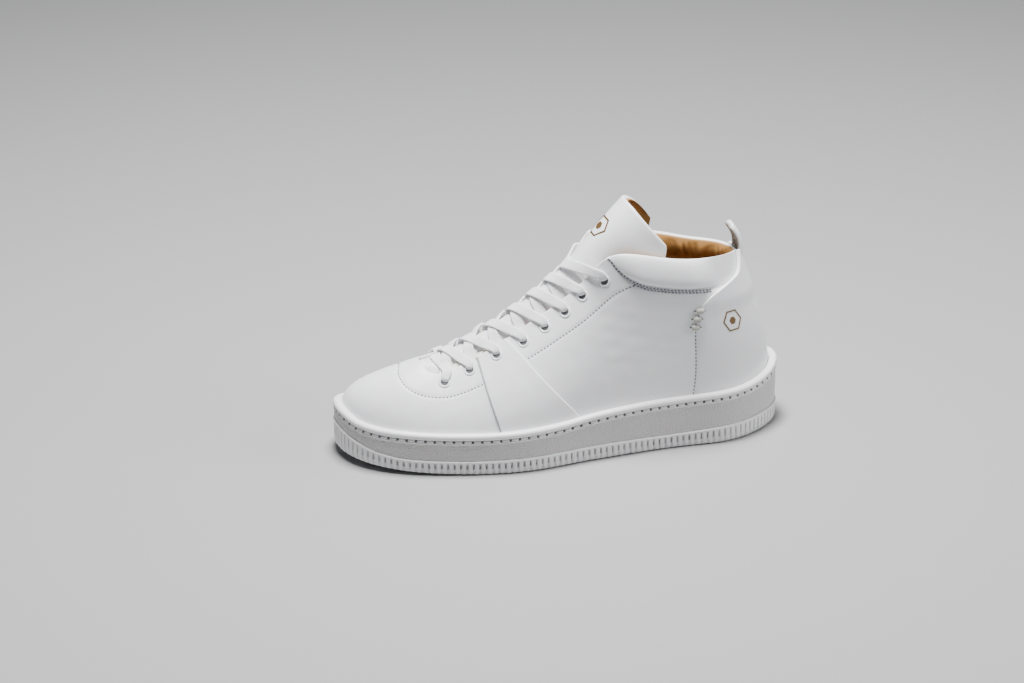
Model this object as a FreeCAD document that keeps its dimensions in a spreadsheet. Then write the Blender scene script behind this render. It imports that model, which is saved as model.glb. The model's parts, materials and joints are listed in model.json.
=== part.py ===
"""Basketball high top, left shoe, as a parametric FreeCAD document.

Millimetres. Toe at -X, heel at +X, outer (lateral) side at -Y, +Z up. The origin is on the
ground under the middle of the shoe. Every leather, lining and stiffener piece is a patch of one
master surface, which runs from the rubber cup up to the lacing edge and the collar ridge.
"""

import FreeCAD, Part
import math
import os

from FreeCAD import Rotation, Vector

SIZES = {
    "block_height": 60.0,
    "block_width": 140.0,
    "toe_spring": 5.3,
    "cup_wall": 4.7,
    "cup_floor": 1.8,
    "bead_height": 4.2,
    "bead_inset": 0.6,
    "bead_round": 1.4,
    "board_thickness": 2.0,
    "footbed_thickness": 4.0,
    "footbed_inset": 10.2,
    "fit_gap": 0.3,
    "leather": 1.5,
    "stiffener": 0.9,
    "lining": 1.0,
    "tongue_thickness": 3.6,
    "collar_padding": 6.4,
    "collar_bulge": 2.2,
    "eyelet_radius": 3.9,
    "eyelet_hole": 1.9,
    "eyelet_barrel": 2.4,
    "eyelet_lip": 0.7,
    "eyelet_depth": 3.4,
    "lace_width": 7.0,
    "lace_thickness": 1.4,
    "thread": 0.5,
    "tab_width": 13.0,
    "tab_thickness": 2.6,
    "badge_radius": 7.5,
    "badge_ring": 1.0,
    "tread_width": 2.4,
    "tread_depth": 1.8,
    "tread_length": 44.0,
}

# One row for each station round the sole, from the toe tip (0) to the back of the heel (12).
# The outer and inner sides share the row. Upper handles are Bezier handles.
STATIONS = (
    # sole x, outer y, inner y, top edge (x, y, z), low handle, high handle, inner side's fall
    (-150.0, 9.0, 9.0, (-95.0, 1.0, 63.8), (-2.0, 0.0, 19.0), (-30.0, 1.0, -10.5), 0.0),
    (-141.0, -17.5, 31.0, (-94.0, 5.5, 62.8), (-1.5, 1.0, 18.0), (-26.0, 7.0, -9.5), 0.0),
    (-115.0, -37.3, 46.0, (-87.5, 11.0, 61.3), (-0.5, 1.5, 16.0), (-12.0, 12.0, -8.5), 0.0),
    (-80.0, -48.5, 54.3, (-68.0, 13.3, 67.3), (0.0, 1.5, 17.0), (-4.0, 12.0, -11.0), 0.0),
    (-38.0, -54.4, 50.0, (-37.0, 15.0, 82.0), (0.0, 1.5, 24.0), (1.0, 13.5, -12.0), 0.0),
    (-2.0, -50.0, 41.5, (-8.0, 16.8, 99.4), (0.0, 1.5, 32.0), (2.0, 15.0, -15.5), 0.0),
    (24.0, -46.5, 38.6, (12.0, 18.8, 117.0), (0.0, 1.0, 36.0), (5.0, 14.0, -19.0), 0.0),
    (44.0, -44.3, 38.2, (24.5, 24.0, 131.5), (0.0, 1.0, 38.0), (7.0, 9.0, -26.5), 0.0),
    (60.0, -43.0, 38.0, (42.0, 28.5, 134.0), (0.0, 0.5, 36.0), (5.0, 6.0, -34.0), 0.5),
    (82.0, -42.6, 38.4, (68.0, 30.0, 129.0), (0.0, 0.0, 32.0), (5.0, 6.0, -34.0), 2.0),
    (110.0, -40.5, 37.4, (94.0, 26.5, 126.0), (0.0, 0.0, 30.0), (7.0, 7.0, -32.0), 3.5),
    (138.0, -23.8, 26.6, (113.5, 15.0, 123.5), (0.0, 0.5, 28.0), (9.0, 3.0, -30.0), 1.5),
    (150.0, 0.0, 0.0, (121.5, 0.0, 121.5), (-0.2, 0.0, 26.0), (9.5, 0.0, -28.0), 0.0),
)
HEEL = len(STATIONS) - 1
ROUND = 2 * HEEL
UPPER_INSET = 5.2  # the upper stands this far inside the sole's outline
HANDLE_DROP = 7.0  # the low handles start this far under the bead's top

SPRING_FROM = -60.0  # the sole leaves the ground here
SPRING_LENGTH = 90.0

# Heights along the shoe, as (x, z).
BEAD_TOP = (
    (-150, 35.0), (-140, 31.2), (-125, 29.6), (-66, 28.2), (-12, 30.0), (16, 33.0),
    (44, 34.6), (85, 35.7), (120, 37.2), (138, 39.5), (150, 44.0),
)
RIB_TOP = (
    (-150, 21.5), (-144, 18.0), (-128, 12.3), (-110, 10.0), (-67, 9.0), (15, 9.6),
    (60, 9.2), (113, 11.3), (150, 12.0),
)
FOOT_FLOOR = (
    (-150, 27.5), (-140, 25.5), (-125, 22.3), (-105, 20.2), (-66, 19.5), (-12, 21.5), (44, 25.5),
    (120, 27.5), (150, 28.0),
)

# Seams on the master surface: station against height share, or the other way round.
FRONT_SEAM = ((0.0, 3.72), (0.43, 3.50), (1.0, 3.27))
REAR_SEAM = ((0.0, 5.35), (0.27, 4.75), (0.49, 4.39), (0.66, 4.18), (1.0, 3.85))
HEEL_SEAM = (
    (0.0, 8.9), (0.24, 9.05), (0.51, 9.18), (0.66, 9.40), (0.74, 9.73), (0.78, 10.06),
    (0.817, 10.45), (0.851, 10.85), (0.93, 11.2), (1.0, 11.42),
)
COLLAR_SEAM = (
    (7.0, 1.0), (7.08, 0.984), (7.3, 0.898), (7.73, 0.83), (8.25, 0.802), (9.0, 0.80), (12.0, 0.80),
)
VAMP_STITCH = ((1.26, 0.723), (1.72, 0.668), (2.33, 0.589), (2.78, 0.562), (3.16, 0.585), (3.41, 0.609))
EYESTAY_STITCH = ((4.2, 0.67), (4.93, 0.702), (5.47, 0.712), (6.16, 0.729), (7.11, 0.752), (7.75, 0.791))
EYELETS = (
    (2.59, 0.753), (3.14, 0.807), (3.67, 0.838), (4.19, 0.839),
    (4.67, 0.861), (5.18, 0.879), (5.73, 0.898), (6.61, 0.864),
)

# The tongue's ridge in the middle plane, as (x, z), and the line that its free top turns about.
TONGUE_RIDGE = (
    (-98.0, 56.5), (-83.0, 62.0), (-60.0, 75.0), (-35.0, 91.0), (-10.0, 109.5), (3.0, 120.5),
    (13.0, 131.0), (26.0, 145.0), (41.5, 160.5),
)
TONGUE_PIVOT = (12.0, 0.0, 130.0)
TAB_PIVOT = (121.0, 0.0, 123.5)


# ---------------------------------------------------------------- curves and master surface


def spline_controls(rows):
    """Control values of the closed cubic B-spline that passes through every row."""
    count = len(rows)
    controls = [list(row) for row in rows]
    for _ in range(40):
        controls = [
            [(6 * p - a - b) / 4 for p, a, b in zip(rows[i], controls[i - 1], controls[(i + 1) % count])]
            for i in range(count)
        ]
    return controls


def spline_value(controls, u):
    """The closed B-spline's values at station u."""
    count = len(controls)
    k = math.floor(u)
    f = u - k
    weights = (
        (1 - f) ** 3 / 6,
        (3 * f**3 - 6 * f**2 + 4) / 6,
        (-3 * f**3 + 3 * f**2 + 3 * f + 1) / 6,
        f**3 / 6,
    )
    rows = [controls[(k - 1 + j) % count] for j in range(4)]
    return [sum(w * row[i] for w, row in zip(weights, rows)) for i in range(len(rows[0]))]


def along(points, x):
    """A smooth curve through (x, value) points that never overshoots them."""
    xs = [p[0] for p in points]
    ys = [p[1] for p in points]
    if x <= xs[0]:
        return ys[0]
    if x >= xs[-1]:
        return ys[-1]
    slopes = [(b[1] - a[1]) / (b[0] - a[0]) for a, b in zip(points, points[1:])]
    i = max(k for k in range(len(slopes)) if xs[k] <= x)
    width = xs[i + 1] - xs[i]
    f = (x - xs[i]) / width
    return (
        (1 + 2 * f) * (1 - f) ** 2 * ys[i]
        + f * (1 - f) ** 2 * width * tangent(slopes, i)
        + f * f * (3 - 2 * f) * ys[i + 1]
        + f * f * (f - 1) * width * tangent(slopes, i + 1)
    )


def tangent(slopes, k):
    """Slope of the smooth curve at its point k."""
    if k == 0:
        return slopes[0]
    if k == len(slopes):
        return slopes[-1]
    before, after = slopes[k - 1], slopes[k]
    return 0.0 if before * after <= 0 else 2 * before * after / (before + after)


def station_rows():
    """The stations of both sides, once round the shoe."""
    rows = []
    for i in range(ROUND):
        k = min(i, ROUND - i)
        side = -1.0 if i <= HEEL else 1.0
        x, outer_y, inner_y, top, low, high, fall = STATIONS[k]
        y = outer_y if side < 0 else inner_y
        top_y = top[1] if k == 0 else side * top[1]
        top_z = top[2] - (fall if side > 0 else 0.0)
        row = [x, y, top[0], top_y, top_z]
        row += [low[0], side * low[1], low[2]]
        row += [high[0], side * high[1], high[2]]
        rows.append(row)
    return rows


CONTROLS = spline_controls(station_rows())


def outline(u, inset=0.0):
    """A point of the sole's outline, or of the curve that lies inset inside it."""
    step = 0.01
    x, y = spline_value(CONTROLS, u)[:2]
    before = spline_value(CONTROLS, u - step)
    after = spline_value(CONTROLS, u + step)
    dx, dy = after[0] - before[0], after[1] - before[1]
    length = math.hypot(dx, dy)
    return x - dy / length * inset, y + dx / length * inset


def bezier(points, t):
    """A point of the cubic Bezier curve with those four points."""
    weights = ((1 - t) ** 3, 3 * t * (1 - t) ** 2, 3 * t * t * (1 - t), t**3)
    return Vector(*[sum(w * p[i] for w, p in zip(weights, points)) for i in range(3)])


def surface(u, t):
    """The master surface: station u round the shoe, height share t from the foot floor to the top."""
    row = spline_value(CONTROLS, u)
    x, y = outline(u, UPPER_INSET)
    foot = (x, y, along(FOOT_FLOOR, x))
    low_z = along(BEAD_TOP, row[0]) - HANDLE_DROP + row[7]
    low = (x + row[5], y + row[6], low_z)
    top = row[2:5]
    high = (top[0] + row[8], top[1] + row[9], top[2] + row[10])
    return bezier((foot, low, high, top), t)


def normal(u, t):
    """The master surface's outward unit normal."""
    step = 0.01
    across = surface(u + step, t) - surface(u - step, t)
    up = surface(u, min(t + step, 1.0)) - surface(u, min(t + step, 1.0) - 2 * step)
    return across.cross(up).normalize()


def skin(u, t, depth=0.0):
    """A point that lies depth inside the master surface."""
    return surface(u, t) - normal(u, t) * depth


def ground(x):
    """Height of the sole's underside: flat, with the toe sprung up in front of the ball."""
    share = max(0.0, (SPRING_FROM - x) / SPRING_LENGTH)
    return SIZES["toe_spring"] * share * share


# ---------------------------------------------------------------- solids from grids of points


def solid_between(outer, inner):
    """A closed solid between two grids of points with the same number of rows and columns."""
    surfaces = []
    for grid in (outer, inner):
        patch = Part.BSplineSurface()
        patch.interpolate(grid)
        surfaces.append(patch)
    faces = [s.toShape() for s in surfaces]
    for pick in (edge_at_u_start, edge_at_u_end, edge_at_v_start, edge_at_v_end):
        faces.append(Part.makeRuledSurface(pick(surfaces[0]), pick(surfaces[1])))
    return closed(faces)


def edge_at_u_start(patch):
    return patch.uIso(patch.bounds()[0]).toShape()


def edge_at_u_end(patch):
    return patch.uIso(patch.bounds()[1]).toShape()


def edge_at_v_start(patch):
    return patch.vIso(patch.bounds()[2]).toShape()


def edge_at_v_end(patch):
    return patch.vIso(patch.bounds()[3]).toShape()


def closed(faces):
    """Sews faces into one solid with its volume outside in."""
    shell = Part.makeShell(faces)
    shell.sewShape()
    solid = Part.makeSolid(shell)
    if solid.Volume < 0:
        solid.reverse()
    return solid


def patch_point(a, b, left, right, low, high, depth):
    """A point at shares a and b of the patch between two seams and two height limits."""
    t = b
    u = 0.0
    for _ in range(12):
        u = left(t) + a * (right(t) - left(t))
        t = low(u) + b * (high(u) - low(u))
    return skin(u, t, depth)


def patch_solid(left, right, low, high, depths, columns, rows):
    """A sheet of leather, lining or stiffener between two depths under the master surface."""
    grids = [
        [
            [patch_point(i / columns, j / rows, left, right, low, high, depth) for j in range(rows + 1)]
            for i in range(columns + 1)
        ]
        for depth in depths
    ]
    return solid_between(*grids)


def constant(value):
    return lambda _: value


def seam(points, side, shift=0.0):
    """Station of a seam against the height share, on the outer (-1) or inner (+1) side."""
    if side < 0:
        return lambda t: along(points, t) + shift
    return lambda t: ROUND - along(points, t) - shift


def folded(u):
    """The outer side's station that matches station u of either side."""
    u = u % ROUND
    return min(u, ROUND - u)


# ---------------------------------------------------------------- document helpers


def make_sheet(doc):
    """The spreadsheet that holds the driving dimensions."""
    sheet = doc.addObject("Spreadsheet::Sheet", "Sizes")
    for line, (name, value) in enumerate(SIZES.items(), start=1):
        sheet.set(f"A{line}", name)
        sheet.set(f"B{line}", str(value))
        sheet.setAlias(f"B{line}", name)
    doc.recompute()
    return sheet


def add_shape(doc, name, shape, place=None):
    """A sub-part whose shape comes from Part functions, and its placement."""
    feature = doc.addObject("Part::Feature", name)
    feature.Label = name
    feature.Shape = shape
    feature.Placement = place or FreeCAD.Placement()
    return feature


def plan_sketch(doc, name, inset):
    """A closed curve in the ground plane, inset from the sole's outline."""
    sketch = doc.addObject("Sketcher::SketchObject", name)
    curve = Part.BSplineCurve()
    points = [Vector(*outline(i / 2, inset), 0) for i in range(2 * ROUND)]
    curve.interpolate(Points=points, PeriodicFlag=True)
    sketch.addGeometry(curve)
    return sketch


def height_curve(height, start, end):
    """A smooth curve z = height(x) in a side sketch."""
    steps = max(2, round(abs(end - start) / 6))
    xs = [start + (end - start) * i / steps for i in range(steps + 1)]
    curve = Part.BSplineCurve()
    curve.interpolate([Vector(x, height(x), 0) for x in xs])
    return curve


def side_sketch(doc, name, low, high, flat_from=None):
    """A closed profile in the XZ plane between two height curves; low is level behind flat_from."""
    sketch = doc.addObject("Sketcher::SketchObject", name)
    sketch.Placement = FreeCAD.Placement(Vector(0, 0, 0), Rotation(Vector(1, 0, 0), 90))
    front, back = -156.0, 156.0
    bend = back if flat_from is None else flat_from
    sketch.addGeometry(height_curve(low, front, bend))
    if flat_from is not None:
        sketch.addGeometry(Part.LineSegment(Vector(bend, low(bend), 0), Vector(back, low(back), 0)))
    sketch.addGeometry(height_curve(high, front, back))
    for x in (front, back):
        sketch.addGeometry(Part.LineSegment(Vector(x, low(x), 0), Vector(x, high(x), 0)))
    return sketch


def extrusion(doc, name, sketch, direction, length, symmetric=False):
    """A solid Part::Extrusion of a sketch."""
    body = doc.addObject("Part::Extrusion", name)
    body.Base = sketch
    body.DirMode = "Custom"
    body.Dir = direction
    body.setExpression("LengthFwd", f"Sizes.{length}")
    body.Symmetric = symmetric
    body.Solid = True
    return body


def boolean(doc, kind, name, base, tool):
    """A Part::Common or Part::Cut of two objects."""
    result = doc.addObject(kind, name)
    result.Base = base
    result.Tool = tool
    return result


def slab(doc, name, inset, low, high, flat_from=None):
    """The part of an inset outline's prism that lies between two height curves."""
    outline_sketch = plan_sketch(doc, name + "_outline", inset)
    plan = extrusion(doc, name + "_plan", outline_sketch, Vector(0, 0, 1), "block_height")
    plan.LengthRev = 10
    side = side_sketch(doc, name + "_profile", low, high, flat_from)
    band = extrusion(doc, name + "_band", side, Vector(0, 1, 0), "block_width", symmetric=True)
    return boolean(doc, "Part::Common", name, plan, band)


# ---------------------------------------------------------------- sole


def make_sole(doc, size):
    """Outsole, cup, bead, stitching, midsole, lasting board and footbed."""
    parts = [make_outsole(doc, size), make_cup(doc, size), make_bead(doc, size)]
    parts.append(make_sole_stitching(doc, size))
    gap = size.fit_gap
    board = size.board_thickness
    wall = size.cup_wall + gap

    def cup_floor(x):
        return along(RIB_TOP, x) + size.cup_floor + gap

    def under_board(x):
        return along(FOOT_FLOOR, x) - board - 2 * gap

    parts.append(slab(doc, "midsole_foam", wall, cup_floor, lambda x: under_board(x) - gap))
    parts.append(slab(doc, "lasting_board", wall, under_board, lambda x: under_board(x) + board))
    top = size.footbed_thickness
    parts.append(
        slab(
            doc,
            "footbed",
            size.footbed_inset,
            lambda x: along(FOOT_FLOOR, x),
            lambda x: along(FOOT_FLOOR, x) + top,
        )
    )
    return parts


def make_outsole(doc, size):
    """The rubber outsole, with its tread grooves."""
    plate = slab(doc, "outsole_plate", 0.0, ground, lambda x: along(RIB_TOP, x), flat_from=SPRING_FROM)
    grooves = []
    for x in (-126, -112, -98, -84, -70, -34, 72, 88, 104, 120):
        groove = doc.addObject("Part::Box", f"tread_groove_{len(grooves)}")
        groove.setExpression("Length", "Sizes.tread_width")
        groove.setExpression("Width", "Sizes.tread_length")
        groove.setExpression("Height", f"Sizes.tread_depth + {ground(x) + 1:.3f}")
        groove.Placement = FreeCAD.Placement(Vector(x, -20, -1), Rotation())
        grooves.append(groove)
    tread = doc.addObject("Part::MultiFuse", "tread")
    tread.Shapes = grooves
    return boolean(doc, "Part::Cut", "outsole", plate, tread)


def make_cup(doc, size):
    """The rubber cup: a thin floor and the grained side wall."""
    gap = 0.1

    def wall_top(x):
        return along(BEAD_TOP, x) - size.bead_height - gap

    whole = slab(doc, "cup_block", 0.25, lambda x: along(RIB_TOP, x) + gap, wall_top)
    def floor_top(x):
        return along(RIB_TOP, x) + size.cup_floor

    hollow = slab(doc, "cup_hollow", size.cup_wall, floor_top, lambda x: wall_top(x) + 6)
    return boolean(doc, "Part::Cut", "sole_cup", whole, hollow)


def make_bead(doc, size):
    """The smooth half-round lip on top of the cup's wall."""
    lip = size.bead_height
    rounding = size.bead_round
    inset = size.bead_inset
    rings = (
        (inset, -lip), (inset - 0.3, -lip / 2), (inset + rounding * 0.4, -rounding * 0.35),
        (inset + rounding * 1.3, 0.0), (size.cup_wall - 0.8, -rounding * 0.3), (size.cup_wall, -rounding),
        (size.cup_wall, -lip),
    )
    return add_shape(doc, "welt_bead", ring_solid(rings))


def ring_wire(inset, lift):
    """A closed curve round the shoe, inset from the outline and lifted over the bead's top line."""
    points = []
    for i in range(4 * ROUND):
        x, y = outline(i / 4, inset)
        points.append(Vector(x, y, along(BEAD_TOP, outline(i / 4)[0]) + lift))
    curve = Part.BSplineCurve()
    curve.interpolate(Points=points, PeriodicFlag=True)
    return Part.Wire([curve.toShape()])


def ring_solid(rings):
    """A closed ring round the shoe whose section has the (inset, lift) corners."""
    wires = [ring_wire(inset, lift) for inset, lift in rings]
    shell = Part.makeLoft(wires, False, True, True)
    return closed(shell.Faces)


def make_sole_stitching(doc, size):
    """The thread that sews the cup to the upper, in the groove under the bead."""
    half = size.thread
    rings = ((-half * 0.8, -half), (-half * 0.8, half), (0.15, half), (0.15, -half))
    drop = size.bead_height + 1.2
    return add_shape(doc, "sole_stitching", ring_solid([(inset, lift - drop) for inset, lift in rings]))


# ---------------------------------------------------------------- upper


def make_upper(doc, size):
    """Vamp, quarters and heel panel of the outer leather."""
    depths = (0.0, size.leather)
    slit = 0.004  # half of the gap left at a seam, in stations
    full = (constant(0.0), constant(1.0))
    shapes = {
        "vamp": patch_solid(
            lambda t: -along(FRONT_SEAM, t) + slit, seam(FRONT_SEAM, -1, -slit), *full, depths, 44, 12
        )
    }
    for side, word in ((-1, "outer"), (1, "inner")):
        front = sorted_seams(seam(FRONT_SEAM, side, slit), seam(REAR_SEAM, side, -slit), side)
        rear = sorted_seams(seam(REAR_SEAM, side, slit), seam(HEEL_SEAM, side, -slit), side)
        shapes[f"mid_panel_{word}"] = patch_solid(*front, *full, depths, 10, 12)
        shapes[f"quarter_{word}"] = patch_solid(
            *rear, constant(0.0), lambda u: along(COLLAR_SEAM, folded(u)) - 0.004, depths, 34, 14
        )
    shapes["heel_panel"] = patch_solid(
        seam(HEEL_SEAM, -1, slit), seam(HEEL_SEAM, 1, slit), *full, depths, 30, 16
    )
    for side, word in ((-1, "outer"), (1, "inner")):
        holes = eyelet_cylinders(side, size.eyelet_barrel + 0.1)
        pierced = {"vamp": holes[:2], f"mid_panel_{word}": holes[2:3], f"quarter_{word}": holes[3:]}
        for name, few in pierced.items():
            shapes[name] = shapes[name].cut(Part.makeCompound(few))
    return [add_shape(doc, name, shape) for name, shape in shapes.items()]


def sorted_seams(first, second, side):
    """The two seams in the order in which the stations rise."""
    return (first, second) if side < 0 else (second, first)


def eyelet_frame(side, u, t):
    """Centre and outward direction of an eyelet."""
    station = u if side < 0 else ROUND - u
    return skin(station, t), normal(station, t)


def eyelet_cylinders(side, radius):
    """Cylinders through all layers at the eyelets of one side."""
    reach = 6.0
    cylinders = []
    for u, t in EYELETS:
        centre, out = eyelet_frame(side, u, t)
        cylinders.append(Part.makeCylinder(radius, 2 * reach, centre - out * reach, out))
    return cylinders


def make_reinforcements(doc, size):
    """Toe puff, heel counter and the strips behind the eyelets."""
    start = size.leather + 0.2
    depths = (start, start + size.stiffener)
    low = constant(0.03)
    shapes = {
        "toe_puff": patch_solid(constant(-2.1), constant(2.1), low, constant(0.66), depths, 24, 8),
        "heel_counter": patch_solid(constant(9.6), constant(ROUND - 9.6), low, constant(0.6), depths, 20, 8),
    }
    for side, word in ((-1, "outer"), (1, "inner")):
        ends = (2.3, 6.95) if side < 0 else (ROUND - 6.95, ROUND - 2.3)
        strip = patch_solid(*map(constant, ends), constant(0.7), constant(0.985), depths, 18, 4)
        holes = Part.makeCompound(eyelet_cylinders(side, size.eyelet_barrel + 0.1))
        shapes[f"eyestay_{word}"] = strip.cut(holes)
    return [add_shape(doc, name, shape) for name, shape in shapes.items()]


def make_linings(doc, size):
    """Textile lining of the toe and leather lining of both quarters."""
    start = size.leather + size.stiffener + 0.4
    depths = (start, start + size.lining)
    low = constant(0.02)
    toe = patch_solid(constant(-2.25), constant(2.25), low, constant(0.97), depths, 24, 10)
    shapes = {"vamp_lining": toe}
    for side, word in ((-1, "outer"), (1, "inner")):
        ends = (2.28, 11.98) if side < 0 else (ROUND - 11.98, ROUND - 2.28)
        sheet = patch_solid(*map(constant, ends), low, lining_top, depths, 40, 10)
        holes = Part.makeCompound(eyelet_cylinders(side, size.eyelet_barrel + 0.1))
        shapes[f"quarter_lining_{word}"] = sheet.cut(holes)
    return [add_shape(doc, name, shape) for name, shape in shapes.items()]


def lining_top(u):
    """The lining ends at the lacing edge, and under the collar's padding."""
    return min(0.985, along(COLLAR_SEAM, folded(u)) - 0.012)


# ---------------------------------------------------------------- collar

COLLAR_START = 7.4  # station of the roll's front end
COLLAR_SHAPE = ((0.0, 0.85, 0.0), (0.3, 1.0, 0.8), (0.6, 1.0, 1.0), (0.85, 0.85, 0.7), (1.0, 0.45, 0.0))


def collar_point(u, size, row, padding, extra=0.0):
    """A point of the roll's outer (padding 0) or inner (padding 1) face, extra further inward."""
    share, thick, swell = row
    taper = min(1.0, 0.35 + 0.65 * (folded(u) - COLLAR_START) / 0.8)
    bottom = along(COLLAR_SEAM, folded(u)) + 0.012
    t = bottom + share * (1.0 - bottom)
    depth = collar_depth(u, size)
    bulge = size.collar_bulge * taper * swell * (1.0 - depth / (size.leather + size.fit_gap))
    face = skin(u, t, depth + extra - (0.0 if padding else bulge))
    out = normal(u, t)
    inward = Vector(-out.x, -out.y, 0).normalize()
    return face + inward * (padding * thick * taper * size.collar_padding)


def collar_depth(u, size):
    """The roll is the outside of the collar, and lies under the heel panel at the back."""
    share = min(1.0, max(0.0, (folded(u) - 9.55) / 0.6))
    return (size.leather + size.fit_gap) * share * share * (3 - 2 * share)


def collar_layer(size, start, end):
    """A layer round the collar between two (padding, extra) depths."""
    stations = [COLLAR_START + (ROUND - 2 * COLLAR_START) * i / 48 for i in range(49)]
    grids = [
        [[collar_point(u, size, row, padding, extra) for row in COLLAR_SHAPE] for u in stations]
        for padding, extra in (start, end)
    ]
    return solid_between(*grids)


def make_collar(doc, size):
    """The padded collar roll, from one front corner round the heel to the other, and its lining."""
    gap = size.fit_gap
    pad = collar_layer(size, (0, 0.0), (1, 0.0))
    lining = collar_layer(size, (1, gap), (1, gap + size.lining))
    return [add_shape(doc, "collar_pad", pad), add_shape(doc, "collar_lining", lining)]


# ---------------------------------------------------------------- tongue

TONGUE_AXIS = Vector(math.sqrt(0.5), 0, math.sqrt(0.5))
TONGUE_OUT = Vector(-math.sqrt(0.5), 0, math.sqrt(0.5))
TONGUE_HALF_WIDTH = 19.0
TONGUE_WRAP = 108.0  # degrees that each wing wraps round from the ridge
TONGUE_WRAP_DEPTH = 21.0


def ridge(x, depth=0.0):
    """A point of the tongue's ridge line, or depth under it."""
    step = 1.0
    slope = Vector(2 * step, 0, along(TONGUE_RIDGE, x + step) - along(TONGUE_RIDGE, x - step)).normalize()
    return Vector(x, 0, along(TONGUE_RIDGE, x)) - Vector(-slope.z, 0, slope.x) * depth


def tongue_point(u, w, depth, size):
    """The tongue under the lacing: w runs from the outer wing (-2) over the ridge (0) to the inner (2)."""
    station = ROUND - u if w > 0 else u
    under = size.leather + size.stiffener + size.lining + 0.8 + depth
    share = abs(w)
    if share >= 1:
        return skin(station, 0.97 - 0.25 * (share - 1), under)
    edge = skin(station, 0.97, under)
    rise = (edge - skin(station, 0.93, under)).normalize()
    top = ridge(surface(u, 1.0).x - 6.0, depth)
    level = Vector(0, math.copysign(7.0, w), 0)
    return bezier((top, top + level, edge + rise * 6.0, edge), share)


def make_tongue(doc, size):
    """The tongue under the laces, its free top that folds forward, and the thin leather lining."""
    thick = size.tongue_thickness
    widths = (-2.0, -1.7, -1.35, -1.0, -0.75, -0.5, -0.25, 0.0, 0.25, 0.5, 0.75, 1.0, 1.35, 1.7, 2.0)
    base_rows = [1.9 + 4.6 * i / 16 for i in range(17)]
    base = {}
    for name, layer in (("tongue_base", (0.0, thick)), ("tongue_base_lining", (thick + 0.2, thick + 1.2))):
        grids = [[[tongue_point(u, w, depth, size) for w in widths] for u in base_rows] for depth in layer]
        base[name] = solid_between(*grids).cut(fold_room())
    top = {
        "tongue_top": tongue_arch(0.0, thick),
        "tongue_top_lining": tongue_arch(thick + 0.2, thick + 1.2),
    }
    return [add_shape(doc, name, shape) for name, shape in {**base, **top}.items()]


def fold_room():
    """Block beyond the fold line. It trims the base, so that the free top can lean back."""
    lean = 6.0
    block = Part.makeBox(60, 120, 120, Vector(0, -60, -60))
    corner = Vector(*TONGUE_PIVOT) - TONGUE_AXIS * 0.7
    block.Placement = FreeCAD.Placement(corner, Rotation(Vector(0, 1, 0), lean - 45))
    return block


def tongue_arch(outer, inner):
    """A layer of the tongue's free top, an arch across the ridge, between two depths."""
    grids = []
    for depth in (outer, inner):
        grid = []
        for i in range(9):
            x = 13.0 + 28.5 * i / 8
            grid.append([arch_point(x, -TONGUE_WRAP + TONGUE_WRAP * k / 8, depth) for k in range(17)])
        grids.append(grid)
    return solid_between(*grids)


def arch_point(x, angle, depth):
    """A point of the free top's arch, at an angle round from the ridge."""
    turn = math.radians(angle)
    across = (TONGUE_HALF_WIDTH - depth) * math.sin(turn)
    back = depth + (TONGUE_WRAP_DEPTH - depth) * (1 - math.cos(turn))
    return Vector(x, across, along(TONGUE_RIDGE, x)) - TONGUE_OUT * back


# ---------------------------------------------------------------- lacing


LACE_CLEARANCE = 1.7  # height of the lace's underside over the leather at an eyelet


def make_eyelets(doc, size):
    """One metal eyelet as a body, and a group of eight placed copies on each side."""
    body = doc.addObject("PartDesign::Body", "eyelet_master")
    sketch = body.newObject("Sketcher::SketchObject", "eyelet_profile")
    plane = next(f for f in body.Origin.OriginFeatures if f.Role == "XZ_Plane")
    sketch.AttachmentSupport = [(plane, "")]
    sketch.MapMode = "FlatFace"
    hole, barrel, rim = size.eyelet_hole, size.eyelet_barrel - 0.1, size.eyelet_radius
    lip, deep = size.eyelet_lip, size.eyelet_depth
    corners = [(hole, -deep), (barrel, -deep), (barrel, 0.25), (rim, 0.25), (rim, 0.25 + lip * 0.5)]
    corners += [(rim - 0.5, 0.25 + lip), (hole + 0.3, 0.25 + lip), (hole, lip * 0.6)]
    for start, end in zip(corners, corners[1:] + corners[:1]):
        sketch.addGeometry(Part.LineSegment(Vector(*start, 0), Vector(*end, 0)))
    turned = body.newObject("PartDesign::Revolution", "eyelet_turned")
    turned.Profile = sketch
    turned.ReferenceAxis = (sketch, ["V_Axis"])
    turned.Angle = 360
    doc.recompute()
    made = []
    for side, word in ((-1, "outer"), (1, "inner")):
        copies = []
        for u, t in EYELETS:
            centre, out = eyelet_frame(side, u, t)
            copy = body.Shape.copy()
            copy.Placement = FreeCAD.Placement(centre, Rotation(Vector(0, 0, 1), out))
            copies.append(copy)
        made.append(add_shape(doc, f"eyelets_{word}", Part.makeCompound(copies)))
    return made


def lace_path(side, n, size, lift):
    """Points and outward directions of the strand from eyelet n to the other side's edge at n - 1."""
    u_near, t_near = EYELETS[n]
    u_far = EYELETS[n - 1][0]
    path = over_facing(side, u_near, t_near, size)
    over = size.leather + size.stiffener + size.lining + 0.8 + size.lace_thickness / 2 + LACE_CLEARANCE
    heights = ((0.95, over + 0.5), (0.5, over * 0.45 + lift * 0.55), (0.0, lift), (-0.5, 1.0 + lift * 0.3))
    for w, height in heights:
        share = 0.5 - w / 2
        path.append(lifted(u_near + (u_far - u_near) * share, side * w, height, size))
    path.append(lifted(u_far, -side * 0.72, size.lace_thickness / 2 + 0.5, size))
    return path


def over_facing(side, u, t, size):
    """The strand's first two points, from over the eyelet towards the lacing edge."""
    station = u if side < 0 else ROUND - u
    clear = size.lace_thickness / 2 + LACE_CLEARANCE
    spots = (t + 0.012, (t + 1) / 2)
    return [(skin(station, spot, -clear), normal(station, spot)) for spot in spots]


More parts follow.
